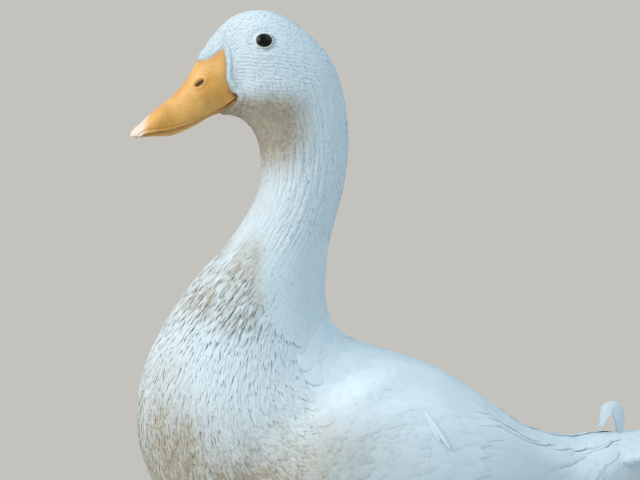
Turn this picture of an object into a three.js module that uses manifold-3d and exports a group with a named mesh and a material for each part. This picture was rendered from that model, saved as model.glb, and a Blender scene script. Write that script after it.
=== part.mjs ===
// A standing white domestic drake, life size, as closed solids in millimetres.
// It faces -Y, its left side is +X, and the soles of its feet rest on z = 0.
// The feathered body, head and bill are one lofted form, parted with thin cuts.
import * as THREE from 'three';
import { mergeVertices } from 'three/addons/utils/BufferGeometryUtils.js';
import Module from 'manifold-3d';

const wasm = await Module();
wasm.setup();

// ---------------------------------------------------------------- driving dimensions
const GAP = 0.3; // between neighbouring pieces
const RINGS_PER_STATION = 2;
const AROUND = 22;

const EYE_AT = { y: -26.5, z: 479 };
const EYE_RADIUS = 6.8; // up, down and to the sides
const EYE_DEPTH = 4.2; // half the eyeball's depth, from its middle to its front
const EYE_PROUD = 1.8; // how far the eyeball stands out of the feathers

// The folded wing lies on the body's side, from one place of the loft to another. Its edges
// are turns round the section, listed from the bend of the wing to its rear end.
const WING = {
  from: 8.3,
  to: 2.15,
  topEdge: [1.3, 0.88, 0.54, 0.42, 0.4, 0.36, 0.33, 0.36],
  bottomEdge: [1.45, 1.78, 1.88, 1.9, 1.84, 1.72, 1.5, 1.15],
  thick: 12,
  edge: 2.6, // thickness at the rim
};

const LEG_X = 47; // from the middle plane to each foot
const HOCK = { y: 97, z: 80, radius: 8.2 };
const TOE_JOINT = { y: 66, z: 11, radius: 8.4 };
const SHANK_RADIUS = 5.6;
const TOES = [
  // turn outwards in degrees, length, radius at the base
  { turn: -27, length: 60, radius: 4.6 },
  { turn: 2, length: 78, radius: 5.0 },
  { turn: 27, length: 72, radius: 4.7 },
];
const CLAW_LENGTH = 9;
const WEB_THICK = 2.2;
const HIND_TOE = { length: 15, radius: 3.2 };

const TAIL = { rootY: 196, tipY: 292, rootZ: 179.5, tipZ: 198.5, rootHalf: 30, tipHalf: 50, thick: 13 };
const CURL = { y: 225.8, footZ: 200, width: 9.5, thick: 1.2 };
// The shaft of a curled feather from its root to its tip, as (y, z) points from its foot.
const CURL_PATH = [
  [2, -12], [5, -3], [5.6, 4], [5, 10], [2.8, 14.4], [-0.6, 16.3], [-4, 14.6], [-6.2, 10.6], [-7.8, 5.4], [-9.6, 0.2],
];
const CURLS = [{ x: 0, size: 1 }, { x: -8, size: 0.92 }]; // side offset, share of the full size

// Stations of the lofted form, from the tail root to the tip of the bill. back and belly are
// points [y, z] of the outline in the middle plane, half is the half width, widest is the
// height share of the widest place, and top and bottom are the roundness of the two halves
// of the section (1 is an ellipse, less is boxier, more is sharper).
const STATIONS = [
  { at: 'vent', back: [262, 193], belly: [254, 173], half: 22, widest: 0.5, top: 1, bottom: 1 },
  { at: 'tail root', back: [222, 197.5], belly: [229, 154], half: 45, widest: 0.5, top: 0.95, bottom: 1 },
  { at: 'rump', back: [195, 194.6], belly: [191, 134], half: 62, widest: 0.5, top: 0.9, bottom: 1 },
  { at: 'loin', back: [163, 202.8], belly: [143, 114.5], half: 80, widest: 0.5, top: 0.88, bottom: 1 },
  { at: 'hips', back: [130, 225.5], belly: [92, 100], half: 91, widest: 0.5, top: 0.88, bottom: 1 },
  { at: 'saddle', back: [98, 246], belly: [48, 91], half: 96, widest: 0.47, top: 0.9, bottom: 0.97 },
  { at: 'middle', back: [66, 258], belly: [4, 91], half: 96, widest: 0.45, top: 0.95, bottom: 0.95 },
  { at: 'keel', back: [44, 265], belly: [-38, 101], half: 92, widest: 0.43, top: 1, bottom: 0.95 },
  { at: 'shoulders', back: [29, 273], belly: [-75, 123], half: 84, widest: 0.43, top: 1.05, bottom: 0.95 },
  { at: 'breast', back: [21.5, 284], belly: [-103, 160], half: 75, widest: 0.43, top: 1.08, bottom: 0.95 },
  { at: 'breast front', back: [18.5, 297], belly: [-117, 205], half: 64, widest: 0.45, top: 1.05, bottom: 0.97 },
  { at: 'crop', back: [18.5, 312], belly: [-110, 253], half: 52, widest: 0.47, top: 1, bottom: 1 },
  { at: 'neck root', back: [20.5, 332], belly: [-82.2, 299.5], half: 41, widest: 0.5, top: 1, bottom: 1 },
  { at: 'low neck', back: [25, 352], belly: [-49, 340], half: 33, widest: 0.5, top: 1, bottom: 1 },
  { at: 'mid neck', back: [31.5, 378], belly: [-30, 374], half: 28.5, widest: 0.5, top: 1, bottom: 1 },
  { at: 'high neck', back: [34.5, 408], belly: [-28.5, 398], half: 27, widest: 0.5, top: 1, bottom: 1 },
  { at: 'nape', back: [31.5, 437], belly: [-33, 414], half: 27, widest: 0.48, top: 1, bottom: 1 },
  { at: 'hind crown', back: [23, 464], belly: [-41, 423], half: 27.5, widest: 0.45, top: 1, bottom: 1 },
  { at: 'cheek', back: [3, 487], belly: [-48, 426], half: 26.5, widest: 0.45, top: 1, bottom: 1.1 },
  { at: 'crown', back: [-22, 500], belly: [-53.5, 427.5], half: 23.5, widest: 0.5, top: 1, bottom: 1.25 },
  { at: 'forehead', back: [-46, 497], belly: [-57.5, 427.5], half: 18.6, widest: 0.48, top: 1.02, bottom: 1.05 },
  { at: 'face', back: [-63, 481], belly: [-62, 426], half: 15.2, widest: 0.4, top: 1.05, bottom: 0.9 },
  { at: 'bill root', back: [-72.5, 465.2], belly: [-68, 422.5], half: 14.3, widest: 0.36, top: 1.12, bottom: 0.8 },
  { at: 'nostrils', back: [-80, 452], belly: [-77, 417.5], half: 13.5, widest: 0.36, top: 1.1, bottom: 0.8 },
  { at: 'bill waist', back: [-91, 439.5], belly: [-89, 412.5], half: 13.2, widest: 0.36, top: 1, bottom: 0.75 },
  { at: 'spoon', back: [-103, 429.8], belly: [-101.5, 409.6], half: 14.6, widest: 0.38, top: 0.9, bottom: 0.75 },
  { at: 'nail', back: [-112, 421.5], belly: [-111.3, 408.2], half: 13.4, widest: 0.42, top: 0.88, bottom: 0.8 },
  { at: 'bill tip', back: [-117.2, 417], belly: [-116.6, 408.2], half: 9.8, widest: 0.46, top: 0.9, bottom: 0.85 },
  { at: 'bill end', back: [-119.4, 413.8], belly: [-119.3, 410], half: 5, widest: 0.5, top: 0.9, bottom: 0.9 },
];

// Cuts in the middle plane, as lines of [y, z] points.
const FEATHER_LINE = [
  [-74, 520], [-72.4, 465.4], [-71.2, 464.6], [-65, 466], [-54.4, 473.2], [-53.3, 466], [-53, 452], [-49.5, 443.5],
  [-44.4, 440], [-46, 435.5], [-55, 429.5], [-63, 424.5], [-70, 412],
];
const MOUTH_LINE = [
  [-38, 442], [-44.4, 440.2], [-52.8, 433.4], [-60.4, 429], [-67, 426], [-73.5, 422.7],
  [-81, 419.6], [-91, 416.4], [-101, 414.9], [-108, 414.6], [-112.5, 412.5], [-114.5, 400],
];
const HEAD_CUT = [[48, 452], [-52, 404]];
const NECK_CUT = [[40, 341], [-118, 282]];
const TAIL_CUT = [[221, 225], [214, 135]];

const COLOURS = {
  plumage: new THREE.Color(0.84, 0.88, 0.9),
  breast: new THREE.Color(0.8, 0.79, 0.77),
  bill: new THREE.Color(0.87, 0.6, 0.25),
  legs: new THREE.Color(0.86, 0.45, 0.13),
  eye: new THREE.Color(0.03, 0.03, 0.03),
};

// ---------------------------------------------------------------- curves and sections

// Catmull-Rom value of a list of numbers at a place counted in list steps.
function along(values, place) {
  const last = values.length - 1;
  const i = Math.min(Math.floor(place), last - 1);
  const u = place - i;
  const before = i > 0 ? values[i - 1] : 2 * values[0] - values[1];
  const after = i < last - 1 ? values[i + 2] : 2 * values[last] - values[last - 1];
  const slopeIn = (values[i + 1] - before) / 2;
  const slopeOut = (after - values[i]) / 2;
  const rise = values[i + 1] - values[i];
  return values[i] + u * (slopeIn + u * (3 * rise - 2 * slopeIn - slopeOut + u * (slopeIn + slopeOut - 2 * rise)));
}

function column(pick) {
  const values = STATIONS.map(pick);
  return (place) => along(values, place);
}

const loftColumns = {
  backY: column((s) => s.back[0]),
  backZ: column((s) => s.back[1]),
  bellyY: column((s) => s.belly[0]),
  bellyZ: column((s) => s.belly[1]),
  half: column((s) => s.half),
  widest: column((s) => s.widest),
  top: column((s) => s.top),
  bottom: column((s) => s.bottom),
};

function power(x, exponent) {
  return Math.sign(x) * Math.abs(x) ** exponent;
}

// A point of the body's surface: place counts stations, and turn goes round the section
// from the back over the left side and the belly.
function bodyPoint(place, turn) {
  const c = loftColumns;
  const up = Math.cos(turn);
  const roundness = up > 0 ? c.top(place) : c.bottom(place);
  const widest = c.widest(place);
  const height = widest + (up > 0 ? 1 - widest : widest) * power(up, roundness);
  const x = c.half(place) * power(Math.sin(turn), roundness);
  const y = THREE.MathUtils.lerp(c.bellyY(place), c.backY(place), height);
  const z = THREE.MathUtils.lerp(c.bellyZ(place), c.backZ(place), height);
  return new THREE.Vector3(x, y, z);
}

function bodyNormal(place, turn) {
  const step = 0.02;
  const last = STATIONS.length - 1;
  const a = bodyPoint(Math.min(place + step, last), turn).sub(bodyPoint(Math.max(place - step, 0), turn));
  const b = bodyPoint(place, turn + step).sub(bodyPoint(place, turn - step));
  return a.cross(b).normalize();
}

// ---------------------------------------------------------------- solids

// A closed surface from a function of two shares: u runs from end to end, and v goes round.
// Both ends are closed with a fan round their middle.
function loft(point, rings, around) {
  const points = [];
  const index = [];
  for (let i = 0; i <= rings; i++) {
    for (let j = 0; j < around; j++) points.push(point(i / rings, j / around));
  }
  for (let i = 0; i < rings; i++) {
    for (let j = 0; j < around; j++) {
      const a = i * around + j;
      const b = i * around + ((j + 1) % around);
      // The two halves split their quads the opposite way, so a symmetric form stays so.
      if (j < around / 2) index.push(a, a + around, b, b, a + around, b + around);
      else index.push(a, a + around, b + around, a, b + around, b);
    }
  }
  for (const end of [0, rings]) {
    const first = end * around;
    const middle = new THREE.Vector3();
    for (let j = 0; j < around; j++) middle.addScaledVector(points[first + j], 1 / around);
    points.push(middle);
    for (let j = 0; j < around; j++) {
      const a = first + j;
      const b = first + ((j + 1) % around);
      if (end) index.push(a, points.length - 1, b);
      else index.push(a, b, points.length - 1);
    }
  }
  return new THREE.BufferGeometry().setFromPoints(points).setIndex(index);
}

// A geometry as a manifold-3d solid with its faces pointing out.
function solid(geometry) {
  const bare = geometry.clone();
  bare.deleteAttribute('normal');
  bare.deleteAttribute('uv');
  const merged = mergeVertices(bare, 1e-4);
  const vertProperties = merged.attributes.position.array;
  const triVerts = new Uint32Array(merged.index.array);
  const made = new wasm.Manifold(new wasm.Mesh({ numProp: 3, vertProperties, triVerts }));
  if (made.volume() > 0) return made;
  return new wasm.Manifold(new wasm.Mesh({ numProp: 3, vertProperties, triVerts: triVerts.reverse() }));
}

function geometryOf(made) {
  const mesh = made.getMesh();
  const geometry = new THREE.BufferGeometry();
  geometry.setAttribute('position', new THREE.BufferAttribute(new Float32Array(mesh.vertProperties), 3));
  geometry.setIndex(new THREE.BufferAttribute(new Uint32Array(mesh.triVerts), 1));
  return geometry;
}

// The body from one place to another, grown outwards by a function of place and turn.
function grownBody(from, to, grow) {
  const rings = Math.round((to - from) * RINGS_PER_STATION);
  const point = (u, v) => {
    const place = from + (to - from) * u;
    const turn = 2 * Math.PI * v;
    return bodyPoint(place, turn).addScaledVector(bodyNormal(place, turn), grow(place, turn));
  };
  return solid(loft(point, rings, AROUND));
}

// A thin wall through the whole body that follows a line in the middle plane.
function thinWall(line) {
  const shape = new THREE.Shape();
  const offset = (side) => line.map(([y, z], i) => {
    const [y0, z0] = line[Math.max(i - 1, 0)];
    const [y1, z1] = line[Math.min(i + 1, line.length - 1)];
    const length = Math.hypot(y1 - y0, z1 - z0);
    const half = (side * GAP) / 2;
    return new THREE.Vector2(y - (half * (z1 - z0)) / length, z + (half * (y1 - y0)) / length);
  });
  shape.setFromPoints([...offset(1), ...offset(-1).reverse()]);
  const reach = 260;
  const wall = new THREE.ExtrudeGeometry(shape, { depth: reach, bevelEnabled: false, steps: 1 });
  // Shape x, y and depth become the model's y, z and x.
  wall.applyMatrix4(new THREE.Matrix4().set(0, 0, 1, -reach / 2, 1, 0, 0, 0, 0, 1, 0, 0, 0, 0, 0, 1));
  return solid(wall);
}

// The main body of a cut solid, without the crumbs that a cut can leave.
function largest(made) {
  return made.decompose().reduce((best, body) => (body.volume() > best.volume() ? body : best));
}

// The separate body of a parted solid whose box has its middle nearest to a place.
function nearest(bodies, x, y, z) {
  const away = (body) => {
    const { min, max } = body.boundingBox();
    return Math.hypot((min[0] + max[0]) / 2 - x, (min[1] + max[1]) / 2 - y, (min[2] + max[2]) / 2 - z);
  };
  return bodies.reduce((best, body) => (away(body) < away(best) ? body : best));
}

// An eyeball, flattened towards the head, or its socket when it is grown.
function eyeball(at, grow) {
  const sphere = new THREE.SphereGeometry(1, 12, 10);
  sphere.rotateZ(Math.PI / 2);
  sphere.scale(EYE_DEPTH + grow, EYE_RADIUS + grow, EYE_RADIUS + grow);
  sphere.translate(at.x, at.y, at.z);
  return solid(sphere);
}

// A round rod of changing radius through points, each { at, radius }.
function rod(stops, rings, around) {
  const path = new THREE.CatmullRomCurve3(stops.map((s) => s.at));
  const radii = stops.map((s) => s.radius);
  const side = new THREE.Vector3(1, 0, 0);
  const point = (u, v) => {
    const centre = path.getPoint(u);
    const across = path.getTangent(u).cross(side).normalize();
    const turn = 2 * Math.PI * v;
    const radius = along(radii, u * (stops.length - 1));
    return centre
      .addScaledVector(side, radius * Math.cos(turn))
      .addScaledVector(across, radius * Math.sin(turn));
  };
  return solid(loft(point, rings, around));
}

// ---------------------------------------------------------------- wings

// The folded wing as a shell on the body's side, bulging between its two edges. Its inner
// face lies inside the body, or grow further in, and is cut away later.
function wingPanel(grow) {
  const rings = 12;
  const outer = 8;
  const inner = 2;
  const point = (u, v) => {
    const place = THREE.MathUtils.lerp(WING.from, WING.to, u);
    const top = along(WING.topEdge, u * (WING.topEdge.length - 1));
    const bottom = along(WING.bottomEdge, u * (WING.bottomEdge.length - 1));
    const step = Math.round(v * (outer + inner + 1));
    const across = step <= outer ? step / outer : 1 - (step - outer) / (inner + 1);
    const turn = THREE.MathUtils.lerp(top, bottom, across);
    const dome = Math.sqrt(Math.max(0, 1 - Math.abs(2 * across - 1) ** 2.4));
    const ends = Math.min(1, 4 * u + 0.15, 3 * (1 - u) + 0.3) ** 0.6;
    const bulge = dome * ends * THREE.MathUtils.smoothstep(turn, 0.3, 1);
    const height = step <= outer ? WING.edge + (WING.thick - WING.edge) * bulge + grow : -6;
    return bodyPoint(place, turn).addScaledVector(bodyNormal(place, turn), height);
  };
  return solid(loft(point, rings, outer + inner + 1));
}

// The long flight feathers run back along the side of the rump to the tail, as a flat tapered blade.
function wingBlade() {
  const halfWidths = [12, 14, 12, 8, 2.5];
  const point = (u, v) => {
    const place = THREE.MathUtils.lerp(4.6, 1.85, u);
    const side = THREE.MathUtils.lerp(0.92, 0.74, u);
    const out = bodyNormal(place, side);
    const heading = bodyPoint(place - 0.05, side).sub(bodyPoint(place + 0.05, side)).normalize();
    const lean = out.clone().cross(heading);
    const turn = 2 * Math.PI * v;
    return bodyPoint(place, side)
      .addScaledVector(out, 2.2 + 2.6 * Math.sin(turn) * (1 - 0.6 * u))
      .addScaledVector(lean, along(halfWidths, u * 4) * Math.cos(turn));
  };
  return solid(loft(point, 7, 8));
}

// ---------------------------------------------------------------- legs

function toe(turnDegrees, length, radius, start) {
  const turn = THREE.MathUtils.degToRad(turnDegrees);
  const heading = new THREE.Vector3(Math.sin(turn), -Math.cos(turn), 0);
  const at = (share, height) => start.clone().addScaledVector(heading, share * length).setZ(height);
  const stops = [
    { at: at(0, radius * 1.2), radius: radius * 1.15 },
    { at: at(0.33, radius * 0.8), radius },
    { at: at(0.66, radius * 0.7), radius: radius * 0.86 },
    { at: at(0.93, radius * 0.6), radius: radius * 0.72 },
    { at: at(1 + (0.5 * CLAW_LENGTH) / length, radius * 0.6), radius: radius * 0.45 },
    { at: at(1 + CLAW_LENGTH / length, radius * 0.2), radius: radius * 0.1 },
  ];
  return rod(stops, 7, 6);
}

// The web: a thin plate from the toe joint to the three toe tips, hollowed between them.
function web(start) {
  const tips = TOES.map(({ turn, length }) => {
    const angle = THREE.MathUtils.degToRad(turn);
    const reach = 0.95 * length;
    return new THREE.Vector2(start.x + reach * Math.sin(angle), start.y - reach * Math.cos(angle));
  });
  const pull = (a, b) => a.clone().add(b).multiplyScalar(0.5).lerp(new THREE.Vector2(start.x, start.y), 0.2);
  const shape = new THREE.Shape();
  shape.moveTo(start.x - 5, start.y + 2);
  shape.lineTo(tips[0].x, tips[0].y);
  for (const i of [0, 1]) {
    const middle = pull(tips[i], tips[i + 1]);
    shape.quadraticCurveTo(middle.x, middle.y, tips[i + 1].x, tips[i + 1].y);
  }
  shape.lineTo(start.x + 5, start.y + 2);
  return solid(new THREE.ExtrudeGeometry(shape, { depth: WEB_THICK, bevelEnabled: false, curveSegments: 3 }));
}

// The left leg as one form, from the feathered thigh to the claws.
function wholeLeg() {
  const at = (x, y, z) => new THREE.Vector3(x, y, z);
  const start = at(LEG_X, TOE_JOINT.y, 0);
  const thigh = rod([
    { at: at(LEG_X + 2, 66, 150), radius: 34 },
    { at: at(LEG_X + 3, 84, 122), radius: 29 },
    { at: at(LEG_X + 2, 94, 100), radius: 18 },
    { at: at(LEG_X + 1, HOCK.y, HOCK.z + 6), radius: 10 },
    { at: at(LEG_X + 1, HOCK.y - 1, HOCK.z - 4), radius: 7.4 },
  ], 8, 12);
  const shank = rod([
    { at: at(LEG_X + 1, HOCK.y, HOCK.z + 8), radius: 5.5 },
    { at: at(LEG_X + 1, HOCK.y, HOCK.z), radius: HOCK.radius },
    { at: at(LEG_X + 0.7, HOCK.y - 9, HOCK.z - 19), radius: SHANK_RADIUS },
    { at: at(LEG_X + 0.3, TOE_JOINT.y + 9, TOE_JOINT.z + 20), radius: SHANK_RADIUS },
    { at: at(LEG_X, TOE_JOINT.y, TOE_JOINT.z - 2), radius: TOE_JOINT.radius },
    { at: at(LEG_X, TOE_JOINT.y - 3, TOE_JOINT.z - 7), radius: TOE_JOINT.radius * 0.8 },
  ], 10, 8);
  const hind = rod([
    { at: at(LEG_X - 3, TOE_JOINT.y + 2, 9), radius: HIND_TOE.radius },
    { at: at(LEG_X - 6, TOE_JOINT.y + 2 + 0.6 * HIND_TOE.length, 6), radius: HIND_TOE.radius * 0.8 },
    { at: at(LEG_X - 8, TOE_JOINT.y + 2 + HIND_TOE.length, 2.5), radius: 0.8 },
  ], 4, 6);
  const toes = TOES.map(({ turn, length, radius }) => toe(turn, length, radius, start));
  const joined = wasm.Manifold.union([thigh, shank, hind, web(start), ...toes]);
  return joined.trimByPlane([0, 0, 1], 0);
}

// ---------------------------------------------------------------- tail

// The closed fan of tail feathers: a flat form, widening to the rear, with a slight roof.
function tailFan(grow) {
  const point = (u, v) => {
    const turn = 2 * Math.PI * v;
    const half = THREE.MathUtils.lerp(TAIL.rootHalf, TAIL.tipHalf, Math.sqrt(u));
    const x = half * power(Math.sin(turn), 0.9);
    const round = 26 * (x / TAIL.tipHalf) ** 2 * u; // the outer feathers are shorter
    const y = THREE.MathUtils.lerp(TAIL.rootY, TAIL.tipY, u) - round;
    const thick = TAIL.thick * (1 - 0.78 * u) + grow;
    const middle = THREE.MathUtils.lerp(TAIL.rootZ, TAIL.tipZ, u) + 5 * Math.sin(Math.PI * u) * 0.5;
    return new THREE.Vector3(x, y, middle + thick * Math.cos(turn) - 9 * (x / TAIL.tipHalf) ** 2);
  };
  return solid(loft(point, 7, 16));
}

// A drake's curled feather: a thin vane that leaves the rump, rises, rolls forwards, turned to
// the side most at its top, and comes down to a narrow tip.
function curl({ x, size }) {
  const stops = CURL_PATH.map(([y, z]) => new THREE.Vector3(x, CURL.y + y * size, CURL.footZ + z * size));
  const path = new THREE.CatmullRomCurve3(stops);
  const side = new THREE.Vector3(1, 0, 0);
  const point = (u, v) => {
    const turn = 2 * Math.PI * v;
    const twist = 0.5 + 0.75 * Math.sin(Math.PI * u) ** 2;
    const tangent = path.getTangent(u);
    const out = new THREE.Vector3(0, tangent.z, -tangent.y).normalize();
    const across = side.clone().multiplyScalar(Math.cos(twist)).addScaledVector(out, Math.sin(twist));
    const over = out.multiplyScalar(Math.cos(twist)).addScaledVector(side, -Math.sin(twist));
    const half = (size * CURL.width / 2) * Math.min(0.55 + 1.2 * u, 1, 0.12 + 2.4 * (1 - u));
    return path.getPoint(u)
      .addScaledVector(across, half * Math.cos(turn))
      .addScaledVector(over, (CURL.thick / 2) * Math.sin(turn));
  };
  return solid(loft(point, 16, 6));
}

// ---------------------------------------------------------------- assembly

const duck = new THREE.Group();

function material(colour, roughness) {
  return new THREE.MeshStandardMaterial({ color: colour, roughness, metalness: 0 });
}

function addPart(name, made, finish) {
  const mesh = new THREE.Mesh(geometryOf(made), finish);
  mesh.name = name;
  duck.add(mesh);
}

const plumage = material(COLOURS.plumage, 0.85);
const breast = material(COLOURS.breast, 0.9);
const horn = material(COLOURS.bill, 0.4);
const scales = material(COLOURS.legs, 0.55);
const dark = material(COLOURS.eye, 0.08);

const last = STATIONS.length - 1;
const whole = grownBody(0, last, () => 0);
// The body with its clearance, also behind its flat rear end, to cut its neighbours.
const cleared = grownBody(0, last, () => GAP).add(whole.translate([0, GAP, 0]));
const parted = wasm.Manifold.difference([
  whole, ...[FEATHER_LINE, MOUTH_LINE, HEAD_CUT, NECK_CUT, TAIL_CUT].map(thinWall),
]).decompose();

// The eyes sit in round sockets on the surface of the head.
const eyePlace = { turn: 0, x: 0 };
for (let turn = 0.2; turn < 1.6; turn += 0.002) {
  const place = STATIONS.findIndex((s) => s.at === 'crown') - 0.25;
  const point = bodyPoint(place, turn);
  const off = Math.abs(point.z - EYE_AT.z);
  if (eyePlace.x === 0 || off < eyePlace.off) Object.assign(eyePlace, { turn, x: point.x, off });
}
const eyeX = eyePlace.x + EYE_PROUD - EYE_DEPTH;
const eyes = [1, -1].map((side) => new THREE.Vector3(side * eyeX, EYE_AT.y, EYE_AT.z));
const sockets = eyes.map((at) => eyeball(at, GAP));
const head = nearest(parted, 0, -20, 460);

// Each nostril is a slot sunk into the side of the upper bill.
function nostril(side) {
  const slot = new THREE.SphereGeometry(1, 6, 5);
  slot.scale(2.2, 3.6, 1.5);
  slot.rotateX(THREE.MathUtils.degToRad(-35));
  slot.translate(side * 10.2, -72.5, 449.5);
  return solid(slot);
}

const fan = largest(tailFan(0).subtract(cleared));
const clearedFan = cleared.add(tailFan(GAP));
const leftWing = largest(wingPanel(0).add(wingBlade()).subtract(clearedFan));

const rump = nearest(parted, 0, 235, 178);

addPart('trunk', nearest(parted, 0, 40, 190), plumage);
addPart('neck', nearest(parted, 0, -30, 350), breast);
addPart('head', wasm.Manifold.difference([head, ...sockets]), plumage);
addPart('bill_upper', nearest(parted, 0, -85, 443).subtract(nostril(1)).subtract(nostril(-1)), horn);
addPart('bill_lower', nearest(parted, 0, -80, 420), horn);
addPart('rump', rump, plumage);

const sides = [['left', 1], ['right', -1]];
const leftLeg = wholeLeg().subtract(cleared).subtract(wingPanel(GAP));
const hockWall = thinWall([[HOCK.y - 30, HOCK.z + 2], [HOCK.y + 30, HOCK.z + 8]]);
const ankleWall = thinWall([[TOE_JOINT.y - 30, TOE_JOINT.z], [TOE_JOINT.y + 30, TOE_JOINT.z + 14]]);
const legPieces = leftLeg.subtract(hockWall).subtract(ankleWall).decompose();
sides.forEach(([name, side], i) => {
  const mirrored = (made) => (side > 0 ? made : made.scale([-1, 1, 1]));
  addPart(`eye_${name}`, eyeball(eyes[i], 0), dark);
  addPart(`wing_${name}`, mirrored(leftWing), plumage);
  addPart(`thigh_${name}`, mirrored(nearest(legPieces, LEG_X, 90, 100)), plumage);
  addPart(`shank_${name}`, mirrored(nearest(legPieces, LEG_X, 82, 45)), scales);
  addPart(`foot_${name}`, mirrored(nearest(legPieces, LEG_X, 25, 5)), scales);
});
addPart('tail', fan, plumage);
CURLS.forEach((shape, i) => addPart(`curl_${i + 1}`, largest(curl(shape).subtract(clearedFan)), plumage));

// The origin goes under the middle of the duck's box, at the level of the soles.
const box = new THREE.Box3().setFromObject(duck);
duck.position.set(0, -(box.min.y + box.max.y) / 2, -box.min.z);

export default duck;
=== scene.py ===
"""The looks of a standing white domestic duck: skin, feathers, bill, eyes, legs and tail.

It faces -Y, its left side is +X and its soles rest on z = 0. Shapes are worked out in
millimetres on the body's own form, and make_piece() moves them into the frame, in metres.
The body is a loft: a place counts its stations from the vent to the tip of the bill, and a
turn goes round the section from the back over the left side and the belly.
"""

import bpy
import numpy as np
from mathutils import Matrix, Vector


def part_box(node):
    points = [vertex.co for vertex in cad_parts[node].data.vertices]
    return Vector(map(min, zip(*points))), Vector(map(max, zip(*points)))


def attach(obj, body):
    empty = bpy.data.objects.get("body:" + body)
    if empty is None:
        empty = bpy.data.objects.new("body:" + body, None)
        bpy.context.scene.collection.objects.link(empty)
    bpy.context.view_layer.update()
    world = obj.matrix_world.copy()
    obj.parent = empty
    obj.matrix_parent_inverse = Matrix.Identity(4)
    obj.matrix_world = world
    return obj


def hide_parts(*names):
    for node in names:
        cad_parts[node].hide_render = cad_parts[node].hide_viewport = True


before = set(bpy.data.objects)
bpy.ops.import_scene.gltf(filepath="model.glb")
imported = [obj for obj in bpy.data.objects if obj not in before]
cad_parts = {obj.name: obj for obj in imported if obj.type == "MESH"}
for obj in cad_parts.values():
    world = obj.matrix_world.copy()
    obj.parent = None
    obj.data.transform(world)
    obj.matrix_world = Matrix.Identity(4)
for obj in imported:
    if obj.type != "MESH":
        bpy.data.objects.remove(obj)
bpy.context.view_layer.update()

MM = 0.001  # metres in a millimetre
MM_PER_CM = 10
FULL = 2 * np.pi  # one turn, in radians
rng = np.random.default_rng(20)

# ------------------------------------------------------------------ sizes of the body

# Stations of the body: name, back (y, z), belly (y, z), half width, height share of the widest
# place, and the roundness of the upper and the lower half (1 is an ellipse, less is boxier).
STATIONS = [
    ("vent", 262, 193, 254, 173, 22, 0.5, 1, 1),
    ("tail root", 222, 197.5, 229, 154, 45, 0.5, 0.95, 1),
    ("rump", 195, 194.6, 191, 134, 62, 0.5, 0.9, 1),
    ("loin", 163, 202.8, 143, 114.5, 80, 0.5, 0.88, 1),
    ("hips", 130, 225.5, 92, 100, 91, 0.5, 0.88, 1),
    ("saddle", 98, 246, 48, 91, 96, 0.47, 0.9, 0.97),
    ("middle", 66, 258, 4, 91, 96, 0.45, 0.95, 0.95),
    ("keel", 44, 265, -38, 101, 92, 0.43, 1, 0.95),
    ("shoulders", 29, 273, -75, 123, 84, 0.43, 1.05, 0.95),
    ("breast", 21.5, 284, -103, 160, 75, 0.43, 1.08, 0.95),
    ("breast front", 18.5, 297, -117, 205, 64, 0.45, 1.05, 0.97),
    ("crop", 18.5, 312, -110, 253, 52, 0.47, 1, 1),
    ("neck root", 20.5, 332, -82.2, 299.5, 41, 0.5, 1, 1),
    ("low neck", 25, 352, -49, 340, 33, 0.5, 1, 1),
    ("mid neck", 31.5, 378, -30, 374, 28.5, 0.5, 1, 1),
    ("high neck", 34.5, 408, -28.5, 398, 27, 0.5, 1, 1),
    ("nape", 31.5, 437, -33, 414, 27, 0.48, 1, 1),
    ("hind crown", 23, 464, -41, 423, 27.5, 0.45, 1, 1),
    ("cheek", 3, 487, -48, 426, 26.5, 0.45, 1, 1.1),
    ("crown", -22, 500, -53.5, 427.5, 23.5, 0.5, 1, 1.25),
    ("forehead", -46, 497, -57.5, 427.5, 18.6, 0.48, 1.02, 1.05),
    ("face", -63, 481, -62, 426, 15.2, 0.4, 1.05, 0.9),
    ("bill root", -72.5, 465.2, -68, 422.5, 14.3, 0.36, 1.12, 0.8),
    ("nostrils", -80, 452, -77, 417.5, 13.5, 0.36, 1.1, 0.8),
    ("bill waist", -91, 439.5, -89, 412.5, 13.2, 0.36, 1, 0.75),
    ("spoon", -103, 429.8, -101.5, 409.6, 14.6, 0.38, 0.9, 0.75),
    ("nail", -112, 421.5, -111.3, 408.2, 13.4, 0.42, 0.88, 0.8),
    ("bill tip", -117.2, 417, -116.6, 408.2, 9.8, 0.46, 0.9, 0.85),
    ("bill end", -119.4, 413.8, -119.3, 410, 5, 0.5, 0.9, 0.9),
]
STATION_SIZES = np.array([row[1:] for row in STATIONS], float)
LAST_PLACE = len(STATIONS) - 1

# Lines in the middle plane, as (y, z) points: the edge of the feathers round the bill, from
# the forehead to the chin, and the closed mouth, from its corner to the tip.
FEATHER_LINE = np.array([
    (-74, 520), (-72.4, 465.4), (-71.2, 464.6), (-65, 466), (-54.4, 473.2), (-53.3, 466),
    (-53, 452), (-49.5, 443.5), (-44.4, 440), (-46, 435.5), (-55, 429.5), (-63, 424.5),
    (-70, 412),
], float)
MOUTH_LINE = np.array([
    (-38, 442), (-44.4, 440.2), (-52.8, 433.4), (-60.4, 429), (-67, 426), (-73.5, 422.7),
    (-81, 419.6), (-91, 416.4), (-101, 414.9), (-108, 414.2), (-111.5, 412.8), (-114, 411),
    (-115.8, 409), (-117, 405),
], float)

# Lines on the side, as (y, z) points: where the pointed locks of the breast end over the bend
# of the wing, and a soft fold where the shoulder feathers end over the wing.
LOCKS_EDGE = np.array([
    (-38, 90), (-34, 112), (-27, 140), (-18, 165), (-9, 188), (1, 214), (-2, 242), (-5, 268),
    (-15, 286), (-29, 303), (-32, 338), (-30, 360),
], float)
SHOULDER_LINE = np.array([
    (15, 234), (35, 236), (51, 240), (65, 246), (78, 247), (94, 244), (107, 236), (124, 223),
    (140, 212),
], float)

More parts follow.
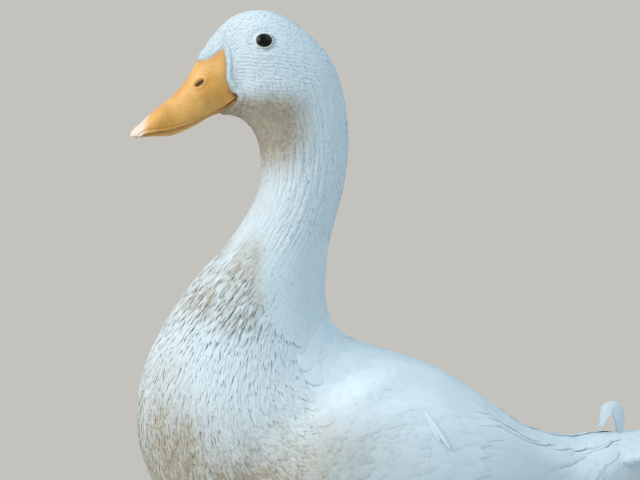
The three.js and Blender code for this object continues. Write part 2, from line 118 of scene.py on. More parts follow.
# The folded wing lies on the body's side between two places; its edges are turns, listed
# from the bend of the wing to its rear end.
WING_FROM, WING_TO = 8.3, 2.15
WING_TOP_EDGE = [1.3, 0.88, 0.54, 0.42, 0.4, 0.36, 0.33, 0.36]
WING_BOTTOM_EDGE = [1.45, 1.78, 1.88, 1.9, 1.84, 1.72, 1.5, 1.15]
WING_THICK = 12

# The tail's root and tip in the middle plane, as (y, z), half its width at either, and how
# far its sides bend forwards and down.
TAIL_ROOT, TAIL_TIP = (196, 179.5), (292, 198.5)
TAIL_HALF_ROOT, TAIL_HALF_TIP = 30, 50
TAIL_SWEEP, TAIL_DROP, TAIL_ARCH = 26, 9, 2.5
TAIL_THICK = 13

# The curled feathers: where they leave the tail, the side offset, size and width of each, and
# the path of one as (y, z) steps from its foot.
CURL_FOOT = (225.8, 200)
CURLS = [(0, 1, 9.5), (-8, 0.92, 8.6)]
CURL_PATH = np.array([
    (2, -12), (5, -3), (5.6, 4), (5, 10), (2.8, 14.4), (-0.6, 16.3), (-4, 14.6), (-6.2, 10.6),
    (-7.8, 5.4), (-9.6, 0.2),
])

# Legs of the left side, as (x, y, z, radius) stops from the top down.
THIGH = [
    (49, 60, 158, 30), (49, 66, 150, 33), (50, 84, 122, 28), (49, 94, 100, 17), (48, 97, 86, 9),
    (48, 97, 78, 6.6),
]
SHANK = [
    (48, 97, 92, 4.8), (48, 97, 88, 5.6), (48, 97, 80, 8.0), (47.7, 88, 61, 5.5),
    (47.3, 75, 31, 5.5), (47, 66, 11, 8.0), (47, 63, 5, 6.6),
]
HIND_TOE = [(44, 67, 9, 3.2), (42.4, 71, 7.6, 3.0), (41, 77, 5, 2.6), (40, 80.5, 3.6, 1.7)]
HIND_CLAW = [(40.3, 79.5, 3.9, 1.5), (39.6, 82, 3.2, 1.2), (39, 84.6, 1.9, 0.3)]

# The front toes start at one joint: the degrees each turns outwards, its length and radius.
TOES_FROM = (47, 66)
TOES = [(-27, 60, 4.6), (2, 78, 5.0), (27, 72, 4.7)]
CLAW_LENGTH = 9

# How many feathers grow in each piece of the coat.
FEATHER_COUNT = {
    "head_coat": 16300, "neck_coat": 16300, "neck_base_coat": 9000, "breast_coat": 7600,
    "back_coat": 1150, "flank_coat": 1350, "belly_coat": 1500, "vent_coat": 300,
    "thigh_coat": 1500, "wing_coverts": 420, "greater_coverts": 110, "scapulars": 190,
    "tail_coverts": 750, "under_tail_coverts": 750,
}

# The CAD model is the same form moved along Y, so one of its eyes gives the move. The lids
# leave an opening round the eye's middle of the given half length and half height.
EYE_Y, EYE_Z = -26.5, 479
EYE_OPENING_Y, EYE_OPENING_Z = 5.4, 4.7
eye_low, eye_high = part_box("eye_left")
SHIFT_Y = (eye_low.y + eye_high.y) / 2 / MM - EYE_Y
EYE_X = (eye_low.x + eye_high.x) / 2 / MM
EYE_RADIUS = (eye_high.z - eye_low.z) / 2 / MM
EYE_DEPTH = (eye_high.x - eye_low.x) / 2 / MM

SIDES = (("left", 1), ("right", -1))

# ------------------------------------------------------------------ camera


def direction(azimuth, elevation):
    """The unit vector towards an azimuth and an elevation in degrees: azimuth 0 is ahead of
    the duck, and 90 is on its left."""
    azimuth, elevation = np.radians(azimuth), np.radians(elevation)
    return np.array([
        np.cos(elevation) * np.sin(azimuth),
        -np.cos(elevation) * np.cos(azimuth),
        np.sin(elevation),
    ])


def add_camera():
    """A long lens level with the duck's neck, a little ahead of its left side."""
    distance = 1.7
    half_view = 0.2272  # metres from the view's middle to its side, at the duck
    aim = np.array([0, (14 + SHIFT_Y) * MM, 338 * MM])
    toward = direction(azimuth=86, elevation=4)
    data = bpy.data.cameras.new("camera")
    data.sensor_width = 36
    data.lens = data.sensor_width / 2 * distance / half_view
    camera = bpy.data.objects.new("camera", data)
    camera.location = Vector(aim + distance * toward)
    camera.rotation_euler = Vector(-toward).to_track_quat("-Z", "Y").to_euler()
    bpy.context.scene.collection.objects.link(camera)
    bpy.context.scene.camera = camera


# ------------------------------------------------------------------ curves, noise, surfaces


def along(values, place):
    """Catmull-Rom value of a list, or of each column of a table, at places counted in its
    steps. Past either end it runs straight on."""
    values = np.asarray(values, float)
    place = np.asarray(place, float)
    last = len(values) - 1
    inside = np.clip(place, 0, last)
    i = np.minimum(inside.astype(int), last - 1)
    u, beyond = inside - i, place - inside
    if values.ndim > 1:
        u, beyond = u[..., None], beyond[..., None]
    padded = np.concatenate([
        [2 * values[0] - values[1]], values, [2 * values[-1] - values[-2]],
    ])
    slope_in = (padded[i + 2] - padded[i]) / 2
    slope_out = (padded[i + 3] - padded[i + 1]) / 2
    rise = padded[i + 2] - padded[i + 1]
    square = 3 * rise - 2 * slope_in - slope_out
    cube = slope_in + slope_out - 2 * rise
    end_slope = np.where(beyond < 0, values[1] - values[0], values[-1] - values[-2])
    return padded[i + 1] + u * (slope_in + u * (square + u * cube)) + beyond * end_slope


def ramp(value, low, high):
    """0 at low and 1 at high, eased between them as 3s^2 - 2s^3. low may be the larger."""
    share = np.clip((np.asarray(value, float) - low) / (high - low), 0, 1)
    return share * share * (3 - 2 * share)


def bell(value, middle, spread):
    """1 at the middle, falling on both sides as exp(-s^2), with s counted in spreads."""
    return np.exp(-(((value - middle) / spread) ** 2))


def power(x, exponent):
    """x to an exponent, with the sign of x kept."""
    return np.sign(x) * np.abs(x) ** exponent


def noise(points, size, seed=0):
    """Smooth values from -1 to 1 at 3-D points: hashed values on a lattice of the given size,
    blended between the eight corners of each cell."""
    scaled = np.asarray(points, float) / size
    cell = np.floor(scaled).astype(np.int64)
    share = scaled - cell
    share = share * share * (3 - 2 * share)
    total = np.zeros(scaled.shape[:-1])
    for corner in np.ndindex(2, 2, 2):
        offset = np.array(corner)
        key = (cell + offset) @ np.array([73856093, 19349663, 83492791]) + seed * 2654435761
        key = (key ^ (key >> 13)) * 1274126177
        value = ((key ^ (key >> 16)) & 0xFFFF) / 32767.5 - 1
        total += value * np.prod(np.where(offset, share, 1 - share), axis=-1)
    return total


def unit(vectors):
    """Vectors scaled to length 1."""
    return vectors / np.maximum(np.linalg.norm(vectors, axis=-1, keepdims=True), 1e-12)


class Form:
    """A closed tube-like surface sampled on a grid, for quick points and normals on it.

    The first parameter, a, runs along it and the second, b, round it. Between samples both
    the points and the normals are blended, and past the first and last row they run on."""

    def __init__(self, points, first, last):
        self.points, self.first, self.last = points, first, last
        self.rows, self.columns = points.shape[:2]
        self.step_a = (last - first) / (self.rows - 1)
        self.step_b = FULL / self.columns
        along_a = np.gradient(points, axis=0)
        along_b = (np.roll(points, -1, 1) - np.roll(points, 1, 1)) / 2
        across = np.cross(along_a, along_b)
        self.area = np.linalg.norm(across, axis=-1)
        speed_a = np.linalg.norm(along_a, axis=-1) / self.step_a
        speed_b = np.linalg.norm(along_b, axis=-1) / self.step_b
        self.speed = np.stack([speed_a, speed_b], axis=-1)
        normal = unit(across)
        out = np.sum(normal * (points - points.mean(axis=1, keepdims=True)))
        self.hand = 1 if out > 0 else -1
        self.normals = normal * self.hand

    @classmethod
    def of(cls, shape, first, last, rows, columns):
        """The form of a function of both parameters, as whole arrays."""
        rows_at, columns_at = np.linspace(first, last, rows), np.arange(columns) * FULL / columns
        return cls(shape(*np.meshgrid(rows_at, columns_at, indexing="ij")), first, last)

    def parameters(self):
        """Both parameters of every sample."""
        rows_at = np.linspace(self.first, self.last, self.rows)
        return np.meshgrid(rows_at, np.arange(self.columns) * self.step_b, indexing="ij")

    def grown(self, height):
        """The form moved outwards by a height, one number or one for each sample."""
        height = np.broadcast_to(height, self.points.shape[:2])
        return Form(self.points + self.normals * height[..., None], self.first, self.last)

    def blend(self, table, a, b):
        """Values of a table of samples at any parameters, linear between neighbours."""
        fa = (np.asarray(a, float) - self.first) / self.step_a
        fb = np.asarray(b, float) / self.step_b
        i = np.clip(np.floor(fa).astype(int), 0, self.rows - 2)
        j = np.floor(fb).astype(int)
        u, v = (fa - i), (fb - j)
        if table.ndim > 2:
            u, v = u[..., None], v[..., None]
        j, k = j % self.columns, (j + 1) % self.columns
        here = (1 - v) * table[i, j] + v * table[i, k]
        after = (1 - v) * table[i + 1, j] + v * table[i + 1, k]
        return (1 - u) * here + u * after

    def at(self, a, b, height=0.0):
        """Points of the form, moved outwards by a height."""
        normal = unit(self.blend(self.normals, a, b))
        return self.blend(self.points, a, b) + normal * np.asarray(height)[..., None]


def loft(place, turn):
    """The body's own form. A section is a superellipse between a belly point and a back point
    of the middle plane: x = half sin^r, and the height share runs from the widest place as
    cos^r, with r the roundness of its upper or lower half."""
    row = along(STATION_SIZES, place)
    back, belly = row[..., 0:2], row[..., 2:4]
    half, widest = row[..., 4], row[..., 5]
    up = np.cos(turn)
    roundness = np.where(up > 0, row[..., 6], row[..., 7])
    share = widest + np.where(up > 0, 1 - widest, widest) * power(up, roundness)
    middle = belly + (back - belly) * share[..., None]
    x = half * power(np.sin(turn), roundness)
    return np.concatenate([x[..., None], middle], axis=-1)


def side_turn(turn):
    """The turn on either side of the body, from 0 on the back to pi on the belly."""
    turn = np.mod(turn, FULL)
    return np.where(turn > np.pi, FULL - turn, turn)


def wing_edges(length):
    """The turns of the folded wing's upper and lower edge, at shares along it."""
    steps = np.clip(length, 0, 1) * (len(WING_TOP_EDGE) - 1)
    return along(WING_TOP_EDGE, steps), along(WING_BOTTOM_EDGE, steps)


def wing_shares(place, turn):
    """Shares along the folded wing, 0 at its bend and 1 at its end, and across it, 0 at its
    upper edge and 1 at its lower one, of places on either side of the body."""
    length = (WING_FROM - place) / (WING_FROM - WING_TO)
    top, bottom = wing_edges(length)
    return length, (side_turn(turn) - top) / (bottom - top)


def on_wing_at(length, across):
    """The place and turn of shares along and across the left wing."""
    length, across = np.asarray(length, float), np.asarray(across, float)
    top, bottom = wing_edges(length)
    place = WING_FROM + (WING_TO - WING_FROM) * length
    return np.stack([place, top + (bottom - top) * across], axis=-1)


def wing_height(place, turn):
    """How far the folded wing swells out of the body: a flat dome across, which falls as
    (1 - s^2.4)^0.7 to its edges, fading at its ends."""
    length, across = wing_shares(place, turn)
    dome = np.clip(1 - np.abs(2 * across - 1) ** 2.4, 0, 1) ** 0.7
    ends = ramp(length, -0.04, 0.3) * ramp(length, 1.04, 0.72)
    return WING_THICK * dome * ends * ramp(side_turn(turn), 0.3, 1.0)


def coat_depth(place):
    """How deep the feathers lie on the skin: thin on the face, deepest on the body."""
    return along([3.0, 2.8, 1.9, 1.2, 0.85], np.clip((np.asarray(place, float) - 9) / 2.6, 0, 4))


def ahead_of_wing(points):
    """How far a point lies ahead of the rear edge of the breast's locks, along Y."""
    return np.interp(points[..., 2], LOCKS_EDGE[:, 1], LOCKS_EDGE[:, 0]) - points[..., 1]


def distance_to_line(y, z, line):
    """Distance in the middle plane from points to a line of (y, z) points."""
    best = np.full(np.shape(y), np.inf)
    for (y0, z0), (y1, z1) in zip(line[:-1], line[1:]):
        length = (y1 - y0) ** 2 + (z1 - z0) ** 2
        share = np.clip(((y - y0) * (y1 - y0) + (z - z0) * (z1 - z0)) / length, 0, 1)
        best = np.minimum(best, np.hypot(y - y0 - share * (y1 - y0), z - z0 - share * (z1 - z0)))
    return best


def bare_of_feathers(y, z):
    """How far a point lies on the bill's side of the feather line; negative on the head."""
    outline = np.concatenate([FEATHER_LINE, [(-200, 412), (-200, 520)]])
    inside = np.zeros(np.shape(y), bool)
    for (y0, z0), (y1, z1) in zip(outline, np.roll(outline, -1, axis=0)):
        crosses = (z0 > z) != (z1 > z)
        inside ^= crosses & (y < y0 + (y1 - y0) * (z - z0) / (z1 - z0 + 1e-9))
    return np.where(inside, 1, -1) * distance_to_line(y, z, FEATHER_LINE)


# ------------------------------------------------------------------ markings and painted shade


def wetness(points):
    """1 on the damp front of the breast and lower neck, 0 on the dry back and flanks: it
    rises with the distance ahead of a slanting line in the side view."""
    y, z = points[..., 1], points[..., 2]
    line_y, line_z = -39, 356
    forward, downward, scale = -131, -57, 142.9
    ahead = ((y - line_y) * forward + (z - line_z) * downward) / scale
    return ramp(ahead, -12, 26) * ramp(z, 66, 110)


def soil_and_shade(points):
    """How dirty the feathers are, together with painted shade under the head: a sum of regions,
    each a product of ramps of the height and of the distance ahead. Most lies low on the breast
    and under the throat, whose tan patch is partly a stain and partly painted shade of the head,
    less up the neck's front and on the belly, and noise drawn out downwards breaks it into streaks."""
    y, z = points[..., 1], points[..., 2]
    ahead = ahead_of_wing(points)
    streak = noise(points * np.array([1, 1, 0.3]), 8, 3)
    cloud = noise(points * np.array([1, 1, 0.6]), 26, 4)
    low = 0.8 * ramp(z, 250, 178) * ramp(z, 100, 140) * ramp(ahead, -72, 8)
    chest = 0.46 * ramp(z, 272, 308) * ramp(z, 356, 330) * ramp(y, -14, -36)
    # Under the throat: a tan stain, made stronger as painted shade of the head.
    throat = 1.25 * ramp(z, 378, 416) * ramp(z, 451, 430) * ramp(y, 18, -22)
    front = 0.14 * ramp(z, 335, 365) * ramp(z, 424, 404) * ramp(y, 4, -20)
    bib = 0.3 * ramp(z, 304, 258) * ramp(ahead, 50, 105)
    belly = 0.25 * ramp(z, 140, 100)
    amount = low * (1 + 0.5 * cloud + 0.35 * streak)
    amount = amount + chest * (0.8 + 0.9 * streak + 0.4 * cloud)
    amount = amount + throat * (1 + 0.25 * cloud) + front + bib * (1 + 0.6 * streak)
    amount = amount + belly * (1 + cloud) + 0.07 * wetness(points)
    return np.clip(amount, 0, 1)


# ------------------------------------------------------------------ meshes


def make_piece(name, points, faces, finish, values=None, maps=None, flat=None, replaces=()):
    """A mesh piece from points in millimetres on the body's form and lists of faces.

    values are numbers for each point, maps are UV pairs for each point, and flat says for
    each face whether it is shaded flat, with sharp edges, as a feather's underside is. The
    piece rides on the duck's one body."""
    mesh = bpy.data.meshes.new(name)
    points = np.asarray(points, float).reshape(-1, 3)
    placed = (points + np.array([0, SHIFT_Y, 0])) * MM
    corners = np.concatenate([np.asarray(group).reshape(-1) for group in faces]).astype(np.int32)
    sizes = np.concatenate([np.full(len(group), np.shape(group)[1]) for group in faces])
    starts = np.concatenate([[0], np.cumsum(sizes)[:-1]]).astype(np.int32)
    mesh.vertices.add(len(points))
    mesh.vertices.foreach_set("co", placed.astype(np.float32).ravel())
    mesh.loops.add(len(corners))
    mesh.loops.foreach_set("vertex_index", corners)
    mesh.polygons.add(len(sizes))
    mesh.polygons.foreach_set("loop_start", starts)
    smooth = np.ones(len(sizes), bool) if flat is None else ~np.asarray(flat, bool)
    mesh.polygons.foreach_set("use_smooth", smooth)
    mesh.update(calc_edges=True)
    if flat is not None:
        edge_of_corner = np.empty(len(corners), np.int32)
        mesh.loops.foreach_get("edge_index", edge_of_corner)
        sharp = np.zeros(len(mesh.edges), bool)
        sharp[edge_of_corner[np.repeat(~smooth, sizes)]] = True
        mesh.attributes.new("sharp_edge", "BOOLEAN", "EDGE").data.foreach_set("value", sharp)
    for key, value in (values or {}).items():
        layer = mesh.attributes.new(key, "FLOAT", "POINT")
        layer.data.foreach_set("value", np.asarray(value, np.float32).ravel())
    for key, pairs in (maps or {}).items():
        layer = mesh.uv_layers.new(name=key)
        layer.data.foreach_set("uv", np.asarray(pairs, np.float32).reshape(-1, 2)[corners].ravel())
    mesh.materials.append(finish)
    piece = bpy.data.objects.new(name, mesh)
    bpy.context.scene.collection.objects.link(piece)
    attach(piece, "root")
    if replaces:
        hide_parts(*replaces)
    return piece


def ring_quads(rows, columns, closed_rows=False):
    """Quads between neighbours on a grid that closes round its columns, and where
    closed_rows is true round its rows too, as a ring does."""
    steps = rows if closed_rows else rows - 1
    i, j = np.meshgrid(np.arange(steps), np.arange(columns), indexing="ij")
    below, beside = (i + 1) % rows, (j + 1) % columns
    corners = ((i, j), (below, j), (below, beside), (i, beside))
    return np.stack([p * columns + q for p, q in corners], axis=-1).reshape(-1, 4)


def tube_faces(rows, columns, hand):
    """Quads of a grid that closes round its columns, and triangles that close both ends with
    the two extra points after the grid. hand is 1 where rows cross columns outwards."""
    quads = ring_quads(rows, columns)
    ring = np.arange(columns)
    after = (ring + 1) % columns
    start, end = rows * columns, rows * columns + 1
    last_ring = (rows - 1) * columns
    low = np.stack([ring, after, np.full(columns, start)], axis=-1)
    high = np.stack([last_ring + after, last_ring + ring, np.full(columns, end)], axis=-1)
    triangles = np.concatenate([low, high])
    if hand < 0:
        quads, triangles = quads[:, ::-1], triangles[:, ::-1]
    return [quads, triangles]


def closed_tube(grid, hand=None):
    """Points and faces of a grid of points that closes round its columns, with its ends
    closed and its faces pointing out. Where hand isn't given, the grid's own form says it."""
    rows, columns = grid.shape[:2]
    ends = [grid[0].mean(axis=0), grid[-1].mean(axis=0)]
    points = np.concatenate([grid.reshape(-1, 3), ends])
    return points, tube_faces(rows, columns, hand or Form(grid, 0, 1).hand)


def with_poles(values, start=0.0, end=0.0):
    """A value for each point of a closed tube: those of its grid, then one for either end."""
    return np.concatenate([np.ravel(values), [start, end]])


def mirrored(stops, side):
    """The left side's (x, y, z, radius) stops as an array, turned over X where side is -1."""
    return np.array(stops, float) * np.array([side, 1, 1, 1])


def above_floor(grid, level=0.0):
    """A grid whose points are raised to the floor, or to a level, where they lie below it."""
    grid[..., 2] = np.maximum(grid[..., 2], level)
    return grid


def join(parts):
    """One set of points and faces from several, each (points, [quads, triangles])."""
    points, quads, triangles, first = [], [], [], 0
    for part_points, (part_quads, part_triangles) in parts:
        points.append(part_points)
        quads.append(part_quads + first)
        triangles.append(part_triangles + first)
        first += len(part_points)
    return np.concatenate(points), [np.concatenate(quads), np.concatenate(triangles)]


def tube(stops, rows, columns):
    """A grid of points round a path. stops are (x, y, z, radius); a section is a circle across
    the path, set out from the X axis."""
    table = np.array(stops, float)
    share = np.linspace(0, len(table) - 1, rows)
    centre = along(table[:, :3], share)
    radius = along(table[:, 3], share)
    heading = unit(np.gradient(centre, axis=0))
    side = np.array([1.0, 0, 0])
    over = unit(np.cross(heading, side))
    turn = np.arange(columns) * FULL / columns
    return (
        centre[:, None]
        + radius[:, None, None] * np.cos(turn)[None, :, None] * side
        + radius[:, None, None] * np.sin(turn)[None, :, None] * over[:, None]
    )


# ------------------------------------------------------------------ feathers

# A tuft's points: share of its length, place across it, and share of its thickness. Then its
# faces, and whether each of them, quads first, lies on the underside.
TUFT = {
    "share": np.array([0, 0.3, 0.3, 0.3, 0.72, 0.72, 0.72, 1]),
    "across": np.array([0, -1, 0, 1, -0.72, 0, 0.72, 0]),
    "rise": np.array([0, 0, 1, 0, 0, 0.8, 0, 0.15]),
    "quads": np.array([(1, 2, 5, 4), (2, 3, 6, 5), (1, 4, 6, 3)]),
    "triangles": np.array([(0, 2, 1), (0, 3, 2), (4, 5, 7), (5, 6, 7), (0, 1, 3), (4, 7, 6)]),
    "under": [False, False, True, False, False, False, False, True, True],
}


def vane_pattern(stops, cells, full, blunt):
    """A feather's points and faces: a root, rings of an upper side, a tip, and one strip of
    faces below. Its width is eased up to its full place, and closes as (1 - t^2)^blunt."""
    across = np.linspace(-1, 1, cells + 1)
    share, side, rise = [0.0], [0.0], [0.0]
    for stop in stops:
        width = 0.35 + 0.65 * ramp(stop, 0, full)
        if stop > full:
            width = (1 - ((stop - full) / (1 - full)) ** 2) ** blunt
        share += list(stop - 0.05 * across**2 * stop)
        side += list(width * across)
        rise += list(1 - across**2)
    quads, quads_under = [], []
    ring = cells + 1
    for i in range(len(stops) - 1):
        start, after = 1 + i * ring, 1 + (i + 1) * ring
        quads += [(start + j, start + j + 1, after + j + 1, after + j) for j in range(cells)]
        quads_under.append((start, after, after + cells, start + cells))
    final, tip = 1 + (len(stops) - 1) * ring, 1 + len(stops) * ring
    ends = [(0, 2 + j, 1 + j) for j in range(cells)]
    ends += [(final + j, final + j + 1, tip) for j in range(cells)]
    ends_under = [(0, 1, ring), (final, tip, final + cells)]
    sides = ((quads, False), (quads_under, True), (ends, False), (ends_under, True))
    return {
        "share": np.array(share + [1.0]),
        "across": np.array(side + [0.0]),
        "rise": np.array(rise + [0.1]),
        "quads": np.array(quads + quads_under),
        "triangles": np.array(ends + ends_under),
        "under": [below for faces, below in sides for _ in faces],
    }


LOCK = vane_pattern((0.1, 0.34, 0.6, 0.83), cells=2, full=0.25, blunt=1.0)
VANE = vane_pattern((0.1, 0.34, 0.62, 0.84, 0.96), cells=4, full=0.6, blunt=0.55)
LONG_VANE = vane_pattern((0.06, 0.2, 0.38, 0.56, 0.72, 0.85, 0.94), cells=6, full=0.6, blunt=0.7)


def scatter(form, count, wanted):
    """Roots (a, b) spread evenly over the part of a form where wanted is true: grid cells are
    drawn by their area, several times as often as needed, and one root is kept in each small
    cube of space."""
    draws_per_root = 7
    a, b = form.parameters()
    weight = form.area * wanted
    cube = np.sqrt(1.5 * weight.sum() / count)
    share = (weight / weight.sum()).ravel()
    drawn = rng.choice(weight.size, size=draws_per_root * count, p=share)
    a = a.ravel()[drawn] + (rng.random(len(drawn)) - 0.5) * form.step_a
    b = b.ravel()[drawn] + (rng.random(len(drawn)) - 0.5) * form.step_b
    cells = np.floor(form.at(a, b) / cube + 0.37).astype(np.int64)
    keys = cells @ np.array([1, 4099, 16785407])
    kept = np.unique(keys, return_index=True)[1]
    kept = rng.permutation(kept)[:count]
    return a[kept], b[kept]


def gather(points, size):
    """For each point, the index of the nearest of a few scattered centres, so that tufts can
    draw together into clumps about size apart."""
    cells = np.unique(np.floor(points / size).astype(int), axis=0, return_index=True)[1]
    centres = points[cells]
    nearest = np.empty(len(points), int)
    for start in range(0, len(points), 1500):
        block = points[start:start + 1500]
        apart = ((block[:, None] - centres[None]) ** 2).sum(axis=-1)
        nearest[start:start + 1500] = cells[np.argmin(apart, axis=1)]
    return nearest


def spread_out(values):
    """Values moved and scaled to fill 0.01 to 0.99."""
    low, high = values.min(), values.max()
    return 0.01 + 0.98 * (values - low) / max(high - low, 1e-9)


def patch_map(a, b, pattern):
    """OFBake pairs: each feather is a small patch at its root's place on the unrolled form,
    with a and b spread over the piece's own part of it."""
    root = np.stack([spread_out(np.mod(b + np.pi, FULL)), spread_out(a)], axis=-1)
    patch = 0.003 * np.stack([pattern["across"] / 2, pattern["share"] - 0.5], axis=-1)
    return np.clip(root[:, None] + patch[None], 0.001, 0.999)


def lay_feathers(form, roots, pattern, sizes, flow, sway, clump, early, rake):
    """The points of many feathers along a form, one row for each.

    sizes are columns of length, width, thickness, lift and pull. A feather is the pattern
    laid from its root down the flow: its length and width are turned into steps of the form's
    parameters, its height starts sunk at the root and rises to lift at the tip as
    1 - (1 - share)^early, with its middle lower by a share of rake, and its upper side is
    thick. sway turns it at random, and pull draws the tips of a clump together."""
    a, b = roots
    length, width, thick, lift, pull = sizes
    speed = form.blend(form.speed, a, b)
    share, across, rise = (pattern[key][None] for key in ("share", "across", "rise"))
    turned = np.asarray(sway) * rng.standard_normal(len(a))[:, None]
    sideways = width / 2 * across + turned * length * share
    place_a = a[:, None] + flow * length * share / speed[:, None, 0]
    place_b = b[:, None] - flow * form.hand * sideways / speed[:, None, 1]
    centre = gather(form.at(a, b), clump)
    draw = pull * share**1.4
    place_a = place_a + draw * 0.6 * (a[centre] - a)[:, None]
    place_b = place_b + draw * (np.mod(b[centre] - b + np.pi, FULL) - np.pi)[:, None]
    sunk = (0.4 * (1 - share) + rake) * (1 - share)
    height = lift * (1 - (1 - share) ** early) - sunk + thick * rise
    return form.at(place_a, place_b, height)


def feathers(name, form, roots, pattern, length, width, thick, lift, finish, flow=-1, sway=0.0,
             pull=0.0, clump=4.0, early=2.4, rake=0.0, vary=0.3):
    """Many small feathers that lie along a form, in one piece, as lay_feathers() says. Sizes
    are one number or one for each root, and vary says how much the soil and the painted shade
    under the throat differ from feather to feather."""
    count = len(roots[0])
    *sizes, vary = (
        np.broadcast_to(size, count).astype(float)[:, None]
        for size in (length, width, thick, lift, pull, vary)
    )
    points = lay_feathers(form, roots, pattern, sizes, flow, sway, clump, early, rake)
    corners = points.shape[1]
    first = (np.arange(count) * corners)[:, None, None]
    faces = [(pattern[key][None] + first).reshape(-1, pattern[key].shape[1])
             for key in ("quads", "triangles")]
    quads_in_one = len(pattern["quads"])
    under = pattern["under"][:quads_in_one], pattern["under"][quads_in_one:]
    flat = np.concatenate([np.tile(one, count) for one in under])

    uneven = 1 - vary + 2.6 * vary * rng.random((count, 1)) ** 1.6
    dirt_and_shade = soil_and_shade(form.at(*roots))[:, None] * uneven
    own = np.minimum(0.25 + vary, 0.8)
    values = {
        "tone": np.repeat(0.45 + 0.55 * rng.random(count), corners),
        "soil_and_shade": np.clip((1 - own) * soil_and_shade(points) + own * dirt_and_shade, 0, 1),
    }
    across, share = pattern["across"] * sizes[1] / 2, pattern["share"] * sizes[0]
    vane = np.stack([across, share], axis=-1) / MM_PER_CM
    maps = {"OFBake": patch_map(*roots, pattern), "vane": vane}
    return make_piece(name, points, faces, finish, values, maps, flat)


def blade_shape(steps, base, widening, full, curve, blunt):
    """Shares of a blade's width along its shaft: base at the root, growing by widening to 1,
    and closing past full as (1 - s^curve)^blunt, with s from 0 to 1 over what remains."""
    share = np.linspace(0, 1, steps)
    closing = ((share - full) / (1 - full)).clip(0, 1)
    return np.minimum(base + widening * share, 1) * (1 - closing**curve) ** blunt


def blade_rings(lines, normals, widths, thick, shape, cells, camber):
    """Rings of points round large feathers, the upper side and then the lower one.

    Across the shaft, from -1 to 1, a point goes out by half the width, bends down by camber
    of the width times across squared, and stands off by half the thickness, which thins to
    the edges and to the tip. The shaft is a narrow bell on the upper side."""
    count, steps = lines.shape[:2]
    share = np.linspace(0, 1, steps)
    across = np.linspace(-1, 1, cells + 1)
    shape = np.maximum(shape, 0.02)
    heading = unit(np.gradient(lines, axis=1))
    side = unit(np.cross(heading, normals))
    over = np.cross(side, heading)
    ragged = 1 + 0.03 * rng.standard_normal((count, steps, 1)) * (np.abs(across) > 0.9)
    spread = (widths[:, None] / 2 * shape)[:, :, None] * across * ragged
    bend = -camber * widths[:, None, None] * across**2 * shape[:, None]
    body = thick * (1 - 0.75 * np.abs(across)) * (1 - 0.6 * share)[:, None] / 2
    shaft = 0.35 * thick * bell(across, 0, 0.1) * (1 - share)[:, None]
    middle = lines[:, :, None] + side[:, :, None] * spread[..., None]
    upper = middle + over[:, :, None] * (bend + body + shaft)[..., None]
    lower = middle[:, :, ::-1] + over[:, :, None] * (bend - body)[:, :, ::-1, None]
    return np.concatenate([upper, lower], axis=2)


def blade_maps(lines, widths, cells):
    """The maps of large feathers: vane holds centimetres across and along each one, and in
    OFBake each has a cell of its own in a square table of cells."""
    count, steps = lines.shape[:2]
    half = np.linspace(-1, 1, cells + 1) * 0.5
    across = np.concatenate([half, half[::-1]])
    across, share = np.broadcast_arrays(across, np.linspace(0, 1, steps)[:, None])
    length = np.linalg.norm(np.diff(lines, axis=1), axis=-1).sum(axis=1)
    vane = np.stack([across * widths[:, None, None], share * length[:, None, None]], axis=-1)
    vane = vane.reshape(count, -1, 2) / MM_PER_CM
    vane = np.concatenate([vane, vane[:, [0]], vane[:, [-1]]], axis=1)
    table = int(np.ceil(np.sqrt(count)))
    cell = np.stack([np.arange(count) % table, np.arange(count) // table], axis=-1)
    patch = np.stack([0.1 + 0.8 * (across + 0.5), 0.05 + 0.9 * share], axis=-1).reshape(-1, 2)
    patch = np.concatenate([patch, patch[[0]], patch[[-1]]])
    return {"OFBake": (cell[:, None] + patch[None]) / table, "vane": vane}


def quills(name, lines, normals, widths, thick, finish, shape=None, cells=8, camber=0.12,
           replaces=()):
    """Large feathers along given lines, each a closed thin blade.

    lines and normals hold, for each feather, the points of its shaft and the way its upper
    side faces; widths is the full width of each, and shape its share along the shaft."""
    lines, normals = np.asarray(lines, float), unit(np.asarray(normals, float))
    widths = np.asarray(widths, float)
    count, steps = lines.shape[:2]
    if shape is None:
        shape = blade_shape(steps, base=0.3, widening=2.4, full=0.62, curve=2.4, blunt=0.5)
    rings = blade_rings(lines, normals, widths, thick, shape, cells, camber)
    points, faces = join([closed_tube(ring, hand=-1) for ring in rings])
    columns = rings.shape[2]
    tone = 0.5 + 0.5 * rng.random(count)
    values = {"tone": np.repeat(tone, steps * columns + 2), "soil_and_shade": 0.4 * soil_and_shade(points)}
    below = np.tile(np.arange(columns) >= cells, (steps - 1) * count)
    flat = np.concatenate([below, np.ones(2 * columns * count, bool)])
    maps = blade_maps(lines, widths, cells)
    return make_piece(name, points, faces, finish, values, maps, flat, replaces)


# ------------------------------------------------------------------ finishes


def colour(red, green, blue):
    """The linear colour of a display colour given from 0 to 255."""
    shares = np.array([red, green, blue]) / 255
    linear = np.where(shares > 0.04045, ((shares + 0.055) / 1.055) ** 2.4, shares / 12.92)
    return (*linear.tolist(), 1.0)


